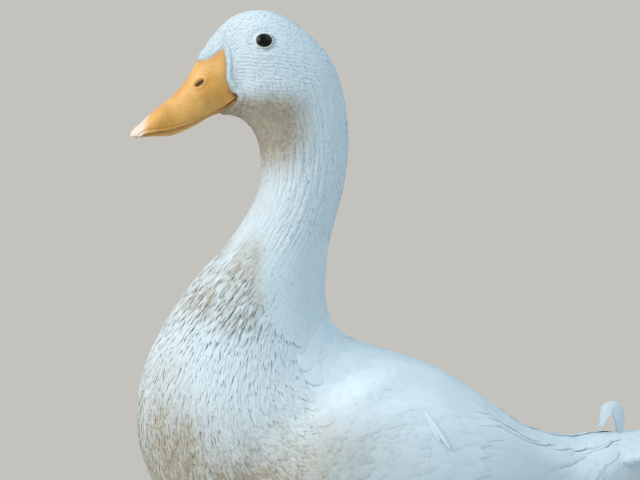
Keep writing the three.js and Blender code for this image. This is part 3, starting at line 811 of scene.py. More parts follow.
class Finish:
    """A material round one principled shader. Its calls add a node, join or set its inputs,
    and hand back the node's output."""

    def __init__(self, name, sockets):
        self.material = bpy.data.materials.new(name)
        self.material.use_nodes = True
        self.tree = self.material.node_tree
        self.tree.nodes.clear()
        self.shader = self.node("ShaderNodeBsdfPrincipled", sockets)
        output = self.node("ShaderNodeOutputMaterial", {})
        self.tree.links.new(self.shader.outputs[0], output.inputs[0])

    def node(self, kind, inputs, **settings):
        made = self.tree.nodes.new(kind)
        for key, value in settings.items():
            setattr(made, key, value)
        for key, value in inputs.items():
            if isinstance(value, bpy.types.NodeSocket):
                self.tree.links.new(value, made.inputs[key])
            else:
                made.inputs[key].default_value = value
        return made

    def place(self):
        return self.node("ShaderNodeTexCoord", {}).outputs["Object"]

    def attribute(self, name):
        return self.node("ShaderNodeAttribute", {}, attribute_name=name).outputs["Fac"]

    def noise(self, vector, scale, detail=2.0, rough=0.5):
        inputs = {"Vector": vector, "Scale": scale, "Detail": detail, "Roughness": rough}
        return self.node("ShaderNodeTexNoise", inputs).outputs[0]

    def stretched(self, vector, scale):
        return self.node("ShaderNodeMapping", {"Vector": vector, "Scale": scale}).outputs[0]

    def math(self, operation, *values):
        return self.node("ShaderNodeMath", dict(enumerate(values)), operation=operation).outputs[0]

    def ramp(self, value, low, high, start=0.0, end=1.0):
        inputs = {"Value": value, "From Min": low, "From Max": high, "To Min": start, "To Max": end}
        return self.node("ShaderNodeMapRange", inputs, interpolation_type="SMOOTHSTEP").outputs[0]

    def mix(self, share, first, second):
        inputs = {0: share, 6: first, 7: second}
        return self.node("ShaderNodeMix", inputs, data_type="RGBA").outputs[2]

    def bump(self, height, distance, strength=1.0, under=None):
        inputs = {"Height": height, "Distance": distance, "Strength": strength}
        if under is not None:
            inputs["Normal"] = under
        return self.node("ShaderNodeBump", inputs).outputs[0]

    def surface(self, **sockets):
        names = {"base": "Base Color", "roughness": "Roughness", "normal": "Normal"}
        for key, value in sockets.items():
            self.tree.links.new(value, self.shader.inputs[names[key]])
        return self.material


WHITE = colour(226, 237, 243)
WHITE_LOW = colour(211, 225, 234)
SOIL_AND_SHADE_PALE = colour(184, 168, 142)
SOIL_AND_SHADE_DARK = colour(140, 121, 95)


def plumage_colour(finish):
    """White that shifts a little from feather to feather and is a little lower on the skin, as
    painted shade in the gaps, with soil, and painted shade under the throat, where their value
    and fine noise are high."""
    place = finish.place()
    white = finish.mix(finish.attribute("tone"), WHITE_LOW, WHITE)
    earth_and_shade = finish.mix(finish.noise(place, 140, 3), SOIL_AND_SHADE_DARK, SOIL_AND_SHADE_PALE)
    broken = finish.ramp(finish.noise(place, 420, 3, 0.6), 0.3, 0.72, 0.78, 1.12)
    share = finish.math("MINIMUM", finish.math("MULTIPLY", finish.attribute("soil_and_shade"), broken), 0.92)
    return finish.mix(share, white, earth_and_shade)


def feather_finish(name, barbs_per_cm, depth):
    """A matt vane: fine barbs slant from the shaft to the tip, and the shaft is a low ridge."""
    finish = Finish(name, {
        "Roughness": 0.78, "Sheen Weight": 0.12, "Sheen Roughness": 0.5, "Specular IOR Level": 0.3,
    })
    vane = finish.node("ShaderNodeUVMap", {}, uv_map="vane").outputs[0]
    parts = finish.node("ShaderNodeSeparateXYZ", {"Vector": vane})
    across, length = parts.outputs[0], parts.outputs[1]
    slant = finish.math("MULTIPLY", finish.math("ABSOLUTE", across), 1.3)
    wander = finish.math("MULTIPLY", finish.noise(vane, 3.0, 2), 0.25)
    phase = finish.math("ADD", finish.math("SUBTRACT", length, slant), wander)
    barbs = finish.math("SINE", finish.math("MULTIPLY", phase, barbs_per_cm * FULL))
    shaft = finish.ramp(finish.math("ABSOLUTE", across), 0.05, 0.0, 0.0, 2.0)
    height = finish.math("ADD", barbs, shaft)
    normal = finish.bump(height, depth)
    return finish.surface(base=plumage_colour(finish), normal=normal)


def skin_finish():
    """The skin under the coat carries the coat's own markings, with a fine downy grain."""
    finish = Finish("skin", {"Roughness": 0.85, "Sheen Weight": 0.15, "Specular IOR Level": 0.3})
    grain = finish.noise(finish.place(), 1400, 3)
    return finish.surface(base=plumage_colour(finish), normal=finish.bump(grain, 0.0001))


def bill_finish():
    """Orange-yellow horn skin with fine pits, a browner base, a pale pinkish nail, brown specks
    along the mouth, dark nostrils and mouth corners, and painted shade on the lower bill's root and
    edge."""
    finish = Finish("bill", {
        "Roughness": 0.42, "Specular IOR Level": 0.45, "Coat Weight": 0.08, "Coat Roughness": 0.35,
    })
    place = finish.place()
    broad = finish.noise(place, 45, 3)
    yellow = finish.mix(finish.ramp(broad, 0.3, 0.7), colour(218, 150, 62), colour(232, 177, 95))
    mottle = finish.ramp(finish.noise(place, 330, 4, 0.65), 0.52, 0.75, 0.0, 0.28)
    yellow = finish.mix(mottle, yellow, colour(190, 124, 52))
    worn = finish.mix(finish.attribute("worn"), yellow, colour(176, 122, 70))
    nail = finish.mix(finish.attribute("nail"), worn, colour(236, 214, 196))
    dark = finish.mix(finish.attribute("dark"), nail, colour(70, 42, 24))
    pits = finish.noise(place, 1500, 3, 0.6)
    creases = finish.noise(finish.stretched(place, (1, 1, 3)), 260, 3)
    normal = finish.bump(creases, 0.0006, 0.6, finish.bump(pits, 0.00025, 0.7))
    rough = finish.ramp(finish.noise(place, 240, 2), 0.3, 0.7, 0.36, 0.52)
    return finish.surface(base=dark, roughness=rough, normal=normal)


def leg_finish():
    """Orange leg skin: small many-sided scales, paler on their crowns, dull in the creases."""
    finish = Finish("legs", {"Roughness": 0.5, "Specular IOR Level": 0.4})
    place = finish.place()
    scale = {"Vector": place, "Scale": 760.0}
    cells = finish.node("ShaderNodeTexVoronoi", scale, feature="DISTANCE_TO_EDGE")
    crown = finish.ramp(cells.outputs[0], 0.0, 0.1)
    orange = finish.mix(finish.noise(place, 60, 3), colour(222, 124, 44), colour(236, 150, 70))
    scales = finish.mix(crown, colour(204, 110, 38), orange)
    scales = finish.mix(finish.attribute("dark"), scales, colour(120, 74, 44))
    normal = finish.bump(crown, 0.0003, 0.6, finish.bump(finish.noise(place, 900, 3), 0.0003, 0.5))
    return finish.surface(base=scales, normal=normal)


def claw_finish():
    """Pale horn, streaked along the claw and browner at its tip."""
    finish = Finish("claw", {"Roughness": 0.38, "Specular IOR Level": 0.5})
    place = finish.place()
    streak = finish.noise(finish.stretched(place, (6, 1, 2)), 300, 3)
    horn = finish.mix(streak, colour(206, 176, 140), colour(228, 204, 176))
    horn = finish.mix(finish.attribute("dark"), horn, colour(112, 82, 58))
    return finish.surface(base=horn, normal=finish.bump(streak, 0.0002, 0.5))


def eye_finish():
    """A wet, very dark brown eye: a black pupil inside a slightly warmer iris."""
    finish = Finish("eye", {"Roughness": 0.12, "Specular IOR Level": 0.22})
    ring = finish.attribute("ring")
    fibre = finish.noise(finish.place(), 1800, 3)
    iris = finish.mix(fibre, colour(26, 20, 16), colour(40, 30, 22))
    inside = finish.mix(finish.ramp(ring, 0.52, 0.6), colour(8, 8, 9), iris)
    whole = finish.mix(finish.ramp(ring, 0.86, 0.96), inside, colour(24, 20, 18))
    return finish.surface(base=whole)


def lid_finish():
    """Bare, pale yellowish lid skin with fine folds along the rim."""
    finish = Finish("lid", {"Roughness": 0.55, "Specular IOR Level": 0.4})
    place = finish.place()
    folds = finish.noise(place, 1600, 2)
    rim = finish.mix(folds, colour(206, 206, 196), colour(228, 230, 224))
    lid = finish.mix(finish.attribute("dark"), rim, colour(92, 78, 62))
    return finish.surface(base=lid, normal=finish.bump(folds, 0.0003, 0.6))


# ------------------------------------------------------------------ skin

ROWS_PER_STATION = 24
FORM_AROUND = 240
FORM_END = 23.5


def eye_distance(points):
    """How far a point lies from the nearer eye's middle, in eye openings: 1 is the lid's rim."""
    y, z = points[..., 1], points[..., 2]
    return np.hypot((y - EYE_Y) / EYE_OPENING_Y, (z - EYE_Z) / EYE_OPENING_Z)


def neck_furrows(points, place, turn, wander):
    """Furrows down the neck, which fade at the head and the breast and lie deepest in front:
    a sine of the turn bent by noise, and strands of noise drawn out along the neck."""
    y = points[..., 1]
    neck = ramp(place, 11.2, 13) * ramp(place + 0.06 * (15 - y).clip(0), 18.8, 16.4)
    neck = neck * (0.75 + 0.25 * ramp(y, 25, -12))
    round_neck = np.stack([26 * np.cos(turn), 26 * np.sin(turn), 3 * place], axis=-1)
    strands = noise(round_neck, 1.5, 7)
    waves = np.sin(turn * 54 + 4.5 * wander)
    return neck * (0.14 * waves + 0.5 * strands) * (0.6 + 0.4 * ramp(place, 13, 14.6))


def cheek_creases(points, wander):
    """Level creases on the cheek: a sine of the height, bent by noise, inside a soft oval."""
    y, z = points[..., 1], points[..., 2]
    cheek = np.exp(-(((y + 18) / 31) ** 4) - ((z - 452) / 19) ** 4)
    waves = np.sin((z + 0.1 * y + 1.6 * wander) * FULL / 2.6)
    return 0.85 * cheek * waves * (0.6 + 0.4 * noise(points, 6, 6))


def bill_margin(margin, beside, place):
    """The feathers' edge at the bill: a raised bell behind it, a hollow one behind that on
    the sides of the face, and ahead of it the skin dives under the bill's root."""
    edge = 1.1 * bell(margin, -2.5, 1.6) - 0.7 * beside * bell(margin, -4.9, 0.9)
    return (edge - 3.4 * ramp(margin, 0.1, 1.7)) * ramp(place, 16.8, 17.6)


def shoulder_fold(points):
    """The fold where the shoulder feathers end: a raised bell above its line and a hollow one
    below it."""
    x, y, z = points[..., 0], points[..., 1], points[..., 2]
    above = z - np.interp(y, SHOULDER_LINE[:, 0], SHOULDER_LINE[:, 1])
    fold = 1.6 * bell(above, 3, 6) - bell(above, -7, 6)
    return fold * ramp(y, 12, 40) * ramp(y, 140, 112) * ramp(np.abs(x), 15, 30)


def relief(points, place, turn):
    """Small forms of the feathered skin, added up: furrows, creases, a hollow ring round each
    eye, the edge at the bill, the shoulder's fold, and a fine unevenness in the down of the
    head and neck."""
    wander = noise(points * np.array([1, 1, 0.35]), 9, 5)
    beside = ramp(np.abs(points[..., 0]), 8, 14)
    margin = bare_of_feathers(points[..., 1], points[..., 2])
    height = neck_furrows(points, place, turn, wander) + cheek_creases(points, wander)
    height = height - 0.6 * beside * bell(eye_distance(points), 1.5, 0.5)
    height = height + bill_margin(margin, beside, place) + shoulder_fold(points)
    down = noise(points * np.array([1, 1, 0.6]), 2.4, 12)
    return height + 0.13 * down * ramp(place, 12, 14) * ramp(margin, -3, -6)


def build_body_forms():
    """The body's outer form, with its folded wings, and the skin below its coat."""
    rows = int(FORM_END * ROWS_PER_STATION) + 1
    plain = Form.of(loft, 0, FORM_END, rows, FORM_AROUND)
    place, turn = plain.parameters()
    outer = plain.grown(wing_height(place, turn))
    skin = outer.grown(relief(outer.points, place, turn) - coat_depth(place))
    return outer, skin


def tail_sheet(x, share):
    """The tail's middle surface at x and at a share of its length, as y and z: a straight
    line from root to tip, arched by a sine, whose sides bend forwards and down as x^2."""
    inside = np.clip(share, 0, 1)
    side = (x / TAIL_HALF_TIP) ** 2
    y = TAIL_ROOT[0] + (TAIL_TIP[0] - TAIL_ROOT[0]) * share - TAIL_SWEEP * side * inside
    z = TAIL_ROOT[1] + (TAIL_TIP[1] - TAIL_ROOT[1]) * share - TAIL_DROP * side
    return y, z + TAIL_ARCH * np.sin(np.pi * inside)


def tail_surface(share, turn):
    """The tail's flesh: a section round its middle surface is nearly an ellipse, whose half
    width grows as the root of the share and whose thickness falls as (1 - share)^1.35."""
    half = TAIL_HALF_ROOT + (TAIL_HALF_TIP - TAIL_HALF_ROOT) * np.sqrt(np.clip(share, 0, 1))
    x = half * power(np.sin(turn), 0.9)
    y, z = tail_sheet(x, share)
    thick = TAIL_THICK * (1 - share).clip(0, 1) ** 1.35 + 0.8
    return np.stack([x, y, z + thick * np.cos(turn)], axis=-1)


def thigh_form(side):
    """A thigh in its feathers: a tube that narrows from the belly to the hock."""
    return Form(tube(mirrored(THIGH, side), 121, 96), 0, 1)


def rounded_tip(grid, radius, begin):
    """A grid with rows added that draw its last section in to a point: for angles q from begin
    to 90 degrees the section shrinks as cos q and moves forward by the radius times sin q."""
    middle = grid[-1].mean(axis=0)
    ahead = unit(middle - grid[-8].mean(axis=0))
    q = np.radians(np.linspace(begin, 90, 10)[1:-1, None, None])
    begin = np.radians(begin)
    shrunk = (grid[-1][None] - middle) * np.cos(q) / np.cos(begin)
    return np.concatenate([grid, middle + shrunk + ahead * radius * (np.sin(q) - np.sin(begin))])


def add_skin(skin, tail, thighs, finish):
    """One skin for the whole duck, from the tail to the edge of the bill. Its shells overlap,
    and the rear ends of body and tail are rounded off."""
    body = rounded_tip(skin.points[::-2], 13, 0)[::-1]
    tail_flesh = rounded_tip(tail.grown(-1.0).points[:40], 2.5, 0)
    grids = [body, tail_flesh] + [thigh.grown(-2.0).points for thigh in thighs]
    points, faces = join([closed_tube(grid) for grid in grids])
    # The skin's tone is lower than any feather's, a little darker: painted shade in the gaps
    # between the feathers.
    values = {"soil_and_shade": soil_and_shade(points), "tone": np.full(len(points), 0.35)}
    flesh = ["trunk", "neck", "head", "rump", "thigh_left", "thigh_right"]
    make_piece("skin", points, faces, finish, values, replaces=flesh)


# ------------------------------------------------------------------ coat

# The places at which the parts of the coat begin and end. They overlap a little, and an
# uneven wobble of the place keeps their edges from being straight.
HEAD_COAT_FROM, HEAD_COAT_TO = 15.8, 22.6
NECK_COAT_FROM, NECK_COAT_TO = 12.4, 16.2
NECK_BASE_FROM, NECK_BASE_TO = 9.6, 12.7
CONTOUR_FROM, CONTOUR_TO = 0.1, 9.8
LOCKS_TO = 12.8


def on_wing(place, turn):
    """Whether a place lies on a folded wing, where the body's own feathers stop."""
    length, across = wing_shares(place, turn)
    return (length > -0.03) & (length < 1.02) & (across > -0.08) & (across < 1.0)


def in_locks(skin, wobble):
    """Whether each sample of the skin lies under the pointed locks of the breast."""
    place, _ = skin.parameters()
    return (place + wobble < LOCKS_TO) & (ahead_of_wing(skin.points) + 24 * wobble > 0)


def on_side(turn, side):
    """Whether a turn is on the left side, 1, or the right one, -1."""
    return (np.mod(turn, FULL) < np.pi) == (side > 0)


def down_size(place):
    """Length and width of the short tufts that grow from the face to the foot of the neck."""
    step = np.clip((place - 11) / 2.4, 0, 4)
    return along([12, 9.5, 7.4, 5.6, 4.2], step), along([3.0, 2.3, 2.0, 1.7, 1.4], step)


def add_head_coat(skin, wobble, finish):
    """Tiny flat tufts on the head and face, kept off the bill and the eyes."""
    place, _ = skin.parameters()
    x, y, z = np.moveaxis(skin.points, -1, 0)
    clear = (bare_of_feathers(y, z) < 0.6) & ((eye_distance(skin.points) > 1.2) | (np.abs(x) < 8))
    on_head = (place + wobble > HEAD_COAT_FROM) & (place < HEAD_COAT_TO)
    roots = scatter(skin, FEATHER_COUNT["head_coat"], clear & on_head)
    length, width = down_size(roots[0])
    length += 0.6 * rng.random(len(length))
    feathers("head_coat", skin, roots, TUFT, length, width, 0.1, 0.72 * coat_depth(roots[0]),
             finish, sway=0.1, pull=0.1, clump=3.0, vary=0.06)


def add_neck_coat(skin, wobble, finish):
    """Short tufts that run down the neck, drawn into fine locks on its damp front, and the
    longer, smoother ones behind them down to the shoulders."""
    place = skin.parameters()[0] + wobble
    upper = (place < NECK_COAT_TO) & (place > NECK_COAT_FROM)
    base = (place < NECK_BASE_TO) & (place > NECK_BASE_FROM) & ~in_locks(skin, wobble)
    for name, tract in (("neck_coat", upper), ("neck_base_coat", base)):
        roots = scatter(skin, FEATHER_COUNT[name], tract)
        damp = wetness(skin.at(*roots))
        length, width = down_size(roots[0])
        spread = rng.random(len(damp))
        lift = 0.8 * coat_depth(roots[0]) + 0.5 * damp * spread
        feathers(name, skin, roots, TUFT, length + 2 * spread, width, 0.12 + 0.1 * damp, lift,
                 finish, sway=0.07 + 0.06 * damp[:, None], pull=0.1 + 0.4 * damp, early=3.0,
                 rake=0.2, vary=0.06)


def add_breast_coat(skin, wobble, finish):
    """Pointed locks on the breast. On its damp upper front they are thicker, stand up unevenly
    and are drawn together in clumps with gaps between; lower down they lie closer."""
    _, turn = skin.parameters()
    for name, side in SIDES:
        tract = in_locks(skin, wobble) & on_side(turn, side)
        roots = scatter(skin, FEATHER_COUNT["breast_coat"], tract)
        at_roots = skin.at(*roots)
        damp = wetness(at_roots)
        spread = rng.random(len(damp))
        ruffled = damp * (0.12 + 0.88 * ramp(at_roots[:, 2], 276, 302))
        lift = 2.0 + (0.1 + 1.2 * ruffled) * rng.random(len(damp)) ** 1.5
        feathers(f"breast_coat_{name}", skin, roots, LOCK, 15 + 6 * spread, 3.9 + 1.2 * spread,
                 0.14 + 0.34 * ruffled, lift, finish, sway=0.1 + 0.08 * damp[:, None],
                 pull=0.08 + 0.12 * damp + 0.65 * ruffled, clump=6.5, early=2.6, rake=0.3,
                 vary=0.36 + 0.3 * ruffled)


def contour_lift(roots, spread):
    """How far contour feathers stand off the skin: higher where the flanks' own lie over the
    wing's lower edge and where the back's lie over its upper edge, lower on the wing itself."""
    length, across = wing_shares(*roots)
    over_lower_edge = ramp(across, 1.1, 0.85) * ramp(across, 0.5, 0.8)
    within = ramp(length, 1.0, 0.88) * ramp(across, 0.95, 0.85) * ramp(across, 0.12, 0.25)
    over_upper_edge = ramp(across, 0.2, 0.1) * ramp(across, -0.3, -0.05) * ramp(length, 0.45, 0.6)
    lift = 2.55 + 0.2 * spread + 0.9 * over_lower_edge
    return lift - 1.1 * on_wing(*roots) * within + 0.9 * over_upper_edge


def add_contour_coat(skin, wobble, finish):
    """Larger, smooth, overlapping feathers on the back, the flanks, the belly and the rump,
    shorter at the neck and at the body's rear end."""
    place, turn = skin.parameters()
    behind = ~in_locks(skin, wobble) & (place > CONTOUR_FROM) & (place + wobble < CONTOUR_TO)
    length, across = wing_shares(place, turn)
    bare = ~on_wing(place, turn) | (length > 0.74) | ((across < 0.12) & (length > 0.45))
    turn = side_turn(turn)
    regions = (
        ("back_coat", (turn < 1.25) & bare, 24),
        ("flank_coat", (turn >= 1.25) & (turn < 2.35) & (bare | (across > 0.8)), 24),
        ("belly_coat", turn >= 2.35, 21),
    )
    for name, tract, size in regions:
        roots = scatter(skin, FEATHER_COUNT[name], behind & tract)
        spread = rng.random(len(roots[0]))
        size = size + 5 * spread - 8 * ramp(roots[0], 8.5, 12)
        size = size * (0.35 + 0.65 * ramp(roots[0], 0, 1.2))
        feathers(name, skin, roots, VANE, size, size * 0.58, 0.14, contour_lift(roots, spread),
                 finish, sway=0.07, early=5, rake=0.3, vary=0.15)


def add_vent_coat(skin, finish):
    """Short feathers that close over the body's rounded rear end, under the tail."""
    form = Form(rounded_tip(skin.points[36::-1], 13, 0), 0, 1)
    along_form, _ = form.parameters()
    roots = scatter(form, FEATHER_COUNT["vent_coat"], (along_form > 0.55) & (along_form < 0.94))
    feathers("vent_coat", form, roots, VANE, 13, 7.5, 0.16, 1.8, finish, flow=1, sway=0.08,
             early=4, rake=0.3, vary=0.1)


def add_thigh_coats(thighs, finish):
    """Short feathers down the thighs, closing round each leg above its hock. None grows where
    the tube's stops crowd together and a step along it is short."""
    for (name, _), form in zip(SIDES, thighs):
        under = form.grown(-2.0)
        along_tube, _ = under.parameters()
        speed = under.speed[..., 0]
        steady = speed > 0.4 * np.median(speed)
        tract = (along_tube > 0.12) & (along_tube < 0.9) & steady
        roots = scatter(under, FEATHER_COUNT["thigh_coat"], tract)
        size = along([17, 17, 13, 8], np.clip(roots[0] * 3, 0, 3))
        feathers(f"thigh_coat_{name}", under, roots, VANE, size, size * 0.5, 0.16, 1.9, finish,
                 flow=1, sway=0.08)


def add_wing_coverts(skin, wobble, finish):
    """Smooth feathers over the front half of each folded wing: small ones at its bend, then
    long ones whose tips end over the roots of the flight feathers."""
    place, turn = skin.parameters()
    length, across = wing_shares(place, turn)
    for name, side in SIDES:
        wing = on_wing(place, turn) & on_side(turn, side) & ~in_locks(skin, wobble)
        roots = scatter(skin, FEATHER_COUNT["wing_coverts"], wing & (length < 0.4))
        size = 18 + 14 * ramp(wing_shares(*roots)[0], 0.0, 0.4)
        feathers(f"wing_coverts_{name}", skin, roots, VANE, size, size * 0.6, 0.14, 2.75, finish,
                 sway=0.05, early=5, rake=0.3, vary=0.08)
        tract = wing & (length > 0.3) & (length < 0.52) & (across > 0.05)
        roots = scatter(skin, FEATHER_COUNT["greater_coverts"], tract)
        size = 40 + 10 * ramp(wing_shares(*roots)[0], 0.3, 0.52)
        width = 16 + 3 * rng.random(len(size))
        feathers(f"greater_coverts_{name}", skin, roots, LONG_VANE, size, width, 0.16, 2.85,
                 finish, sway=0.04, early=5, rake=0.35, vary=0.08)


def add_scapulars(skin, wobble, finish):
    """Long smooth shoulder feathers that run back along the top of each wing."""
    place, turn = skin.parameters()
    length, across = wing_shares(place, turn)
    for name, side in SIDES:
        tract = on_side(turn, side) & ~in_locks(skin, wobble) & (place < 9.6) & (length < 0.62)
        tract &= (across > -0.3 + 0.1 * length) & (across < 0.3 - 0.2 * length)
        roots = scatter(skin, FEATHER_COUNT["scapulars"], tract)
        grown = ramp(wing_shares(*roots)[0], 0.0, 0.5)
        feathers(f"scapulars_{name}", skin, roots, LONG_VANE, 30 + 30 * grown, 14 + 4 * grown,
                 0.16, 3.0, finish, sway=0.04, early=5, rake=0.35, vary=0.08)


# ------------------------------------------------------------------ large feathers


def laid_lines(form, starts, ends, low, high, steps=16):
    """Shafts that lie along a form: parameters run straight from start to end, and the height
    rises from low to high as the share to the power 0.8."""
    share = np.linspace(0, 1, steps)[None]
    starts, ends = np.asarray(starts, float), np.asarray(ends, float)
    a = starts[:, :1] + (ends - starts)[:, :1] * share
    b = starts[:, 1:] + (ends - starts)[:, 1:] * share
    low, high = (np.reshape(height, (-1, 1)) for height in (low, high))
    height = low + (high - low) * share**0.8
    return form.at(a, b, height), unit(form.blend(form.normals, a, b))


def add_wing_quills(name, skin, starts, ends, low, high, widths, thick, finish, tilt, shape=None):
    """Rows of long feathers on both wings, given on the left one and mirrored to the right.
    Each leans on the feather below it by the tilt, and its ends stray a little."""
    ends = np.asarray(ends) + 0.03 * rng.standard_normal(np.shape(ends)) * np.array([1, 0.4])
    lines, normals = laid_lines(skin, starts, ends, low, high)
    widths = widths * (1 + 0.05 * rng.standard_normal(len(lines)))
    for side_name, side in SIDES:
        mirror = np.array([side, 1, 1])
        heading = unit(np.gradient(lines * mirror, axis=1))
        across = np.cross(heading, normals * mirror)
        leaning = normals * mirror - side * tilt * across
        quills(f"{name}_{side_name}", lines * mirror, leaning, widths, thick, finish, shape=shape)


def add_wings(skin, finish):
    """The secondaries and tertials of the folded wings, each row laid from the top edge down,
    the narrow primaries that run on from them beside the rump, and two small feathers that
    stand out of place on the left wing."""
    step = np.linspace(0, 1, 16)
    starts = on_wing_at(0.46 - 0.04 * step, 0.24 + 0.74 * step)
    ends = on_wing_at(1.0 - 0.17 * step, 0.26 + 0.66 * step)
    high = 2.75 - 0.3 * step
    add_wing_quills("secondaries", skin, starts, ends, 2.1, high, 18, 0.4, finish, tilt=0.06)
    step = np.linspace(0, 1, 8)
    starts = on_wing_at(0.42 + 0.02 * step, 0.06 + 0.28 * step)
    ends = on_wing_at(1.04 - 0.06 * step, 0.08 + 0.3 * step)
    high = 2.7 - 0.2 * step
    add_wing_quills("tertials", skin, starts, ends, 2.1, high, 22, 0.5, finish, tilt=0.09)
    step = np.linspace(0, 1, 7)
    starts = np.stack([4.8 - 0.2 * step, 0.84 + 0.22 * step], axis=-1)
    ends = np.stack([1.85 + 0.6 * step, 0.74 + 0.2 * step], axis=-1)
    high = 3.2 - 0.6 * step
    shape = blade_shape(16, base=0.45, widening=1.6, full=0.55, curve=2, blunt=0.75)
    add_wing_quills("primaries", skin, starts, ends, 1.2, high, 15, 0.5, finish, 0.05, shape)
    starts, ends = [(5.33, 0.88), (5.22, 0.95)], [(4.72, 1.16), (4.92, 1.12)]
    lines, normals = laid_lines(skin, starts, ends, 2.7, [4.4, 3.8])
    quills("ruffled_feathers_left", lines, normals, [3.8, 2.8], 0.3, finish)


def add_tail(tail, finish):
    """Nine pairs of tail feathers in a fan, the middle pair on top, with coverts on both
    sides. A feather keeps to one share of the fan's half width, which grows as the share
    along it to the power 0.8."""
    pairs = 9
    rank = (np.arange(-pairs, pairs) + 0.5) / pairs
    share = np.linspace(-0.15, 1.0, 18)
    half = 16 + (TAIL_HALF_TIP - 16) * np.clip(share, 0, 1) ** 0.8
    lines, normals, widths = [], [], []
    for r in rank[np.argsort(-np.abs(rank))]:
        y, z = tail_sheet(r * half, share * (1 - 0.03 * abs(r)))
        z = z + 2.6 * (1 - abs(r)) * (0.4 + 0.6 * share)
        lines.append(np.stack([r * half, y, z], axis=-1))
        normals.append(np.tile([0.36 * r + 0.12 * np.sign(r), -0.16, 1], (len(share), 1)))
        widths.append(17 - 2 * abs(r))
    quills("tail_feathers", lines, normals, widths, 0.8, finish, replaces=["tail"], camber=0.1)
    flesh = tail.grown(-0.8)
    along_tail, turn = flesh.parameters()
    upper = np.cos(turn) > -0.15
    tracts = (("tail_coverts", upper, 0.42), ("under_tail_coverts", ~upper, 0.6))
    for name, tract, reach in tracts:
        tract = tract * ramp(along_tail, reach, reach - 0.1)
        roots = scatter(flesh, FEATHER_COUNT[name], tract)
        size = 20 + 12 * ramp(roots[0], 0, 0.3) + 4 * rng.random(len(roots[0]))
        lift = 2.0 - 1.2 * ramp(roots[0], 0.1, 0.5)
        feathers(name, flesh, roots, VANE, size, size * 0.5, 0.2, lift, finish, flow=1,
                 sway=0.05, early=4, rake=0.3, vary=0.1)


def add_curls(finish):
    """The drake's curled feathers over the tail: each leaves the rump, rises, rolls forwards,
    turned to the side most at its top, and comes down to a narrow tip."""
    lines, normals, widths = [], [], []
    path = along(CURL_PATH, np.linspace(0, len(CURL_PATH) - 1, 54))
    path = np.concatenate([0 * path[:, :1], path], axis=1)
    heading = unit(np.gradient(path, axis=0))
    out = np.stack([0 * heading[:, 1], heading[:, 2], -heading[:, 1]], axis=-1)
    share = np.linspace(0, 1, len(path))[:, None]
    twist = 0.5 + 0.75 * np.sin(np.pi * share) ** 2
    sideways = np.array([1.0, 0, 0])
    for x, size, width in CURLS:
        foot = np.array([x, *CURL_FOOT])
        lines.append(foot + path * size + sideways * 2.5 * np.sign(x) * share)
        normals.append(out * np.cos(twist) + sideways * np.sin(twist))
        widths.append(width)
    share = share[:, 0]
    shape = np.minimum(0.55 + 1.2 * share, 1) * np.minimum(1, 0.12 + 2.4 * (1 - share))
    quills("tail_curls", lines, normals, widths, 0.7, finish, shape=shape, camber=0.06,
           replaces=["curl_1", "curl_2"])


# ------------------------------------------------------------------ bill

BILL_FROM = 17.9
LOWER_BILL_TO = 26.25
NOSTRIL_Y, NOSTRIL_Z = -71.4, 449.2
MOUTH_CORNER_Y, MOUTH_CORNER_Z = -45.6, 440.8


def mouth_turn(places):
    """The turn at which each section crosses the closed mouth, pi where the upper bill hooks
    over the lower one: the first of many turns below the mouth line, set back by a straight
    line through its height and that of the turn before."""
    turns = np.linspace(0, np.pi, 700)
    points = loft(*np.meshgrid(places, turns, indexing="ij"))
    above = points[..., 2] - np.interp(-points[..., 1], -MOUTH_LINE[:, 0], MOUTH_LINE[:, 1])
    below = above < 0
    first = np.argmax(below, axis=1).clip(1)
    rows = np.arange(len(places))
    share = above[rows, first - 1] / (above[rows, first - 1] - above[rows, first])
    crossing = turns[first - 1] + share * (turns[1] - turns[0])
    return np.where(below.any(axis=1), crossing, np.pi)


def bill_base_inset(points):
    """How deep a bill's surface sinks on the head's side of the feathers' edge."""
    return 2.8 * ramp(bare_of_feathers(points[..., 1], points[..., 2]), 0.1, -1.4)


def loft_normals(place, turn):
    """Outward normals of the body's form, from small steps of both parameters."""
    step = 1e-3
    a = loft(place + step, turn) - loft(place - step, turn)
    b = loft(place, turn + step) - loft(place, turn - step)
    return unit(np.cross(a, b))


def row_distance(points):
    """How far each point lies from the nearer end of its row, along the row."""
    steps = np.linalg.norm(np.diff(points, axis=1), axis=-1)
    run = np.concatenate([np.zeros((len(points), 1)), np.cumsum(steps, axis=1)], axis=1)
    return np.minimum(run, run[:, -1:] - run)


def bill_values(outside, inside, grid):
    """A value for each point of a closed bill's grid: outside holds those of its outer
    surface, inside is the one of the surface that closes it, and the rows that round its tip
    repeat the last row."""
    rows, columns = grid.shape[:2]
    inner = np.full((len(outside), columns - outside.shape[1]), inside)
    full = np.concatenate([outside, inner], axis=1)
    full = np.concatenate([full, np.repeat(full[-1:], rows - len(full), axis=0)])
    return with_poles(full, full[0].mean(), full[-1].mean())


def mouth_corner(points):
    """1 in the dark wedge at the corner of the mouth, a long spot along the feathers' edge."""
    dy, dz = points[..., 1] - MOUTH_CORNER_Y, points[..., 2] - MOUTH_CORNER_Z
    along_edge, across_edge = 0.8 * dy - 0.6 * dz, 0.6 * dy + 0.8 * dz
    return np.exp(-((along_edge / 4.2) ** 2 + (across_edge / 2.5) ** 2))


def nostril_relief(points):
    """The nostril's height and darkness: a long pit in the side of the bill inside a low oval
    rim, both turned down to the front."""
    tilt = np.radians(-35)
    dy, dz = points[..., 1] - NOSTRIL_Y, points[..., 2] - NOSTRIL_Z
    u = dy * np.cos(tilt) - dz * np.sin(tilt)
    v = dy * np.sin(tilt) + dz * np.cos(tilt)
    rim = np.hypot(u / 5.0, v / 2.9)
    pit = np.hypot(u / 3.6, v / 1.5)
    height = 0.4 * bell(rim, 0.95, 0.28) - 0.5 * ramp(rim, 0.9, 0.5) - 1.2 * ramp(pit, 1.5, 0.3)
    return height, ramp(pit, 1.2, 0.8)


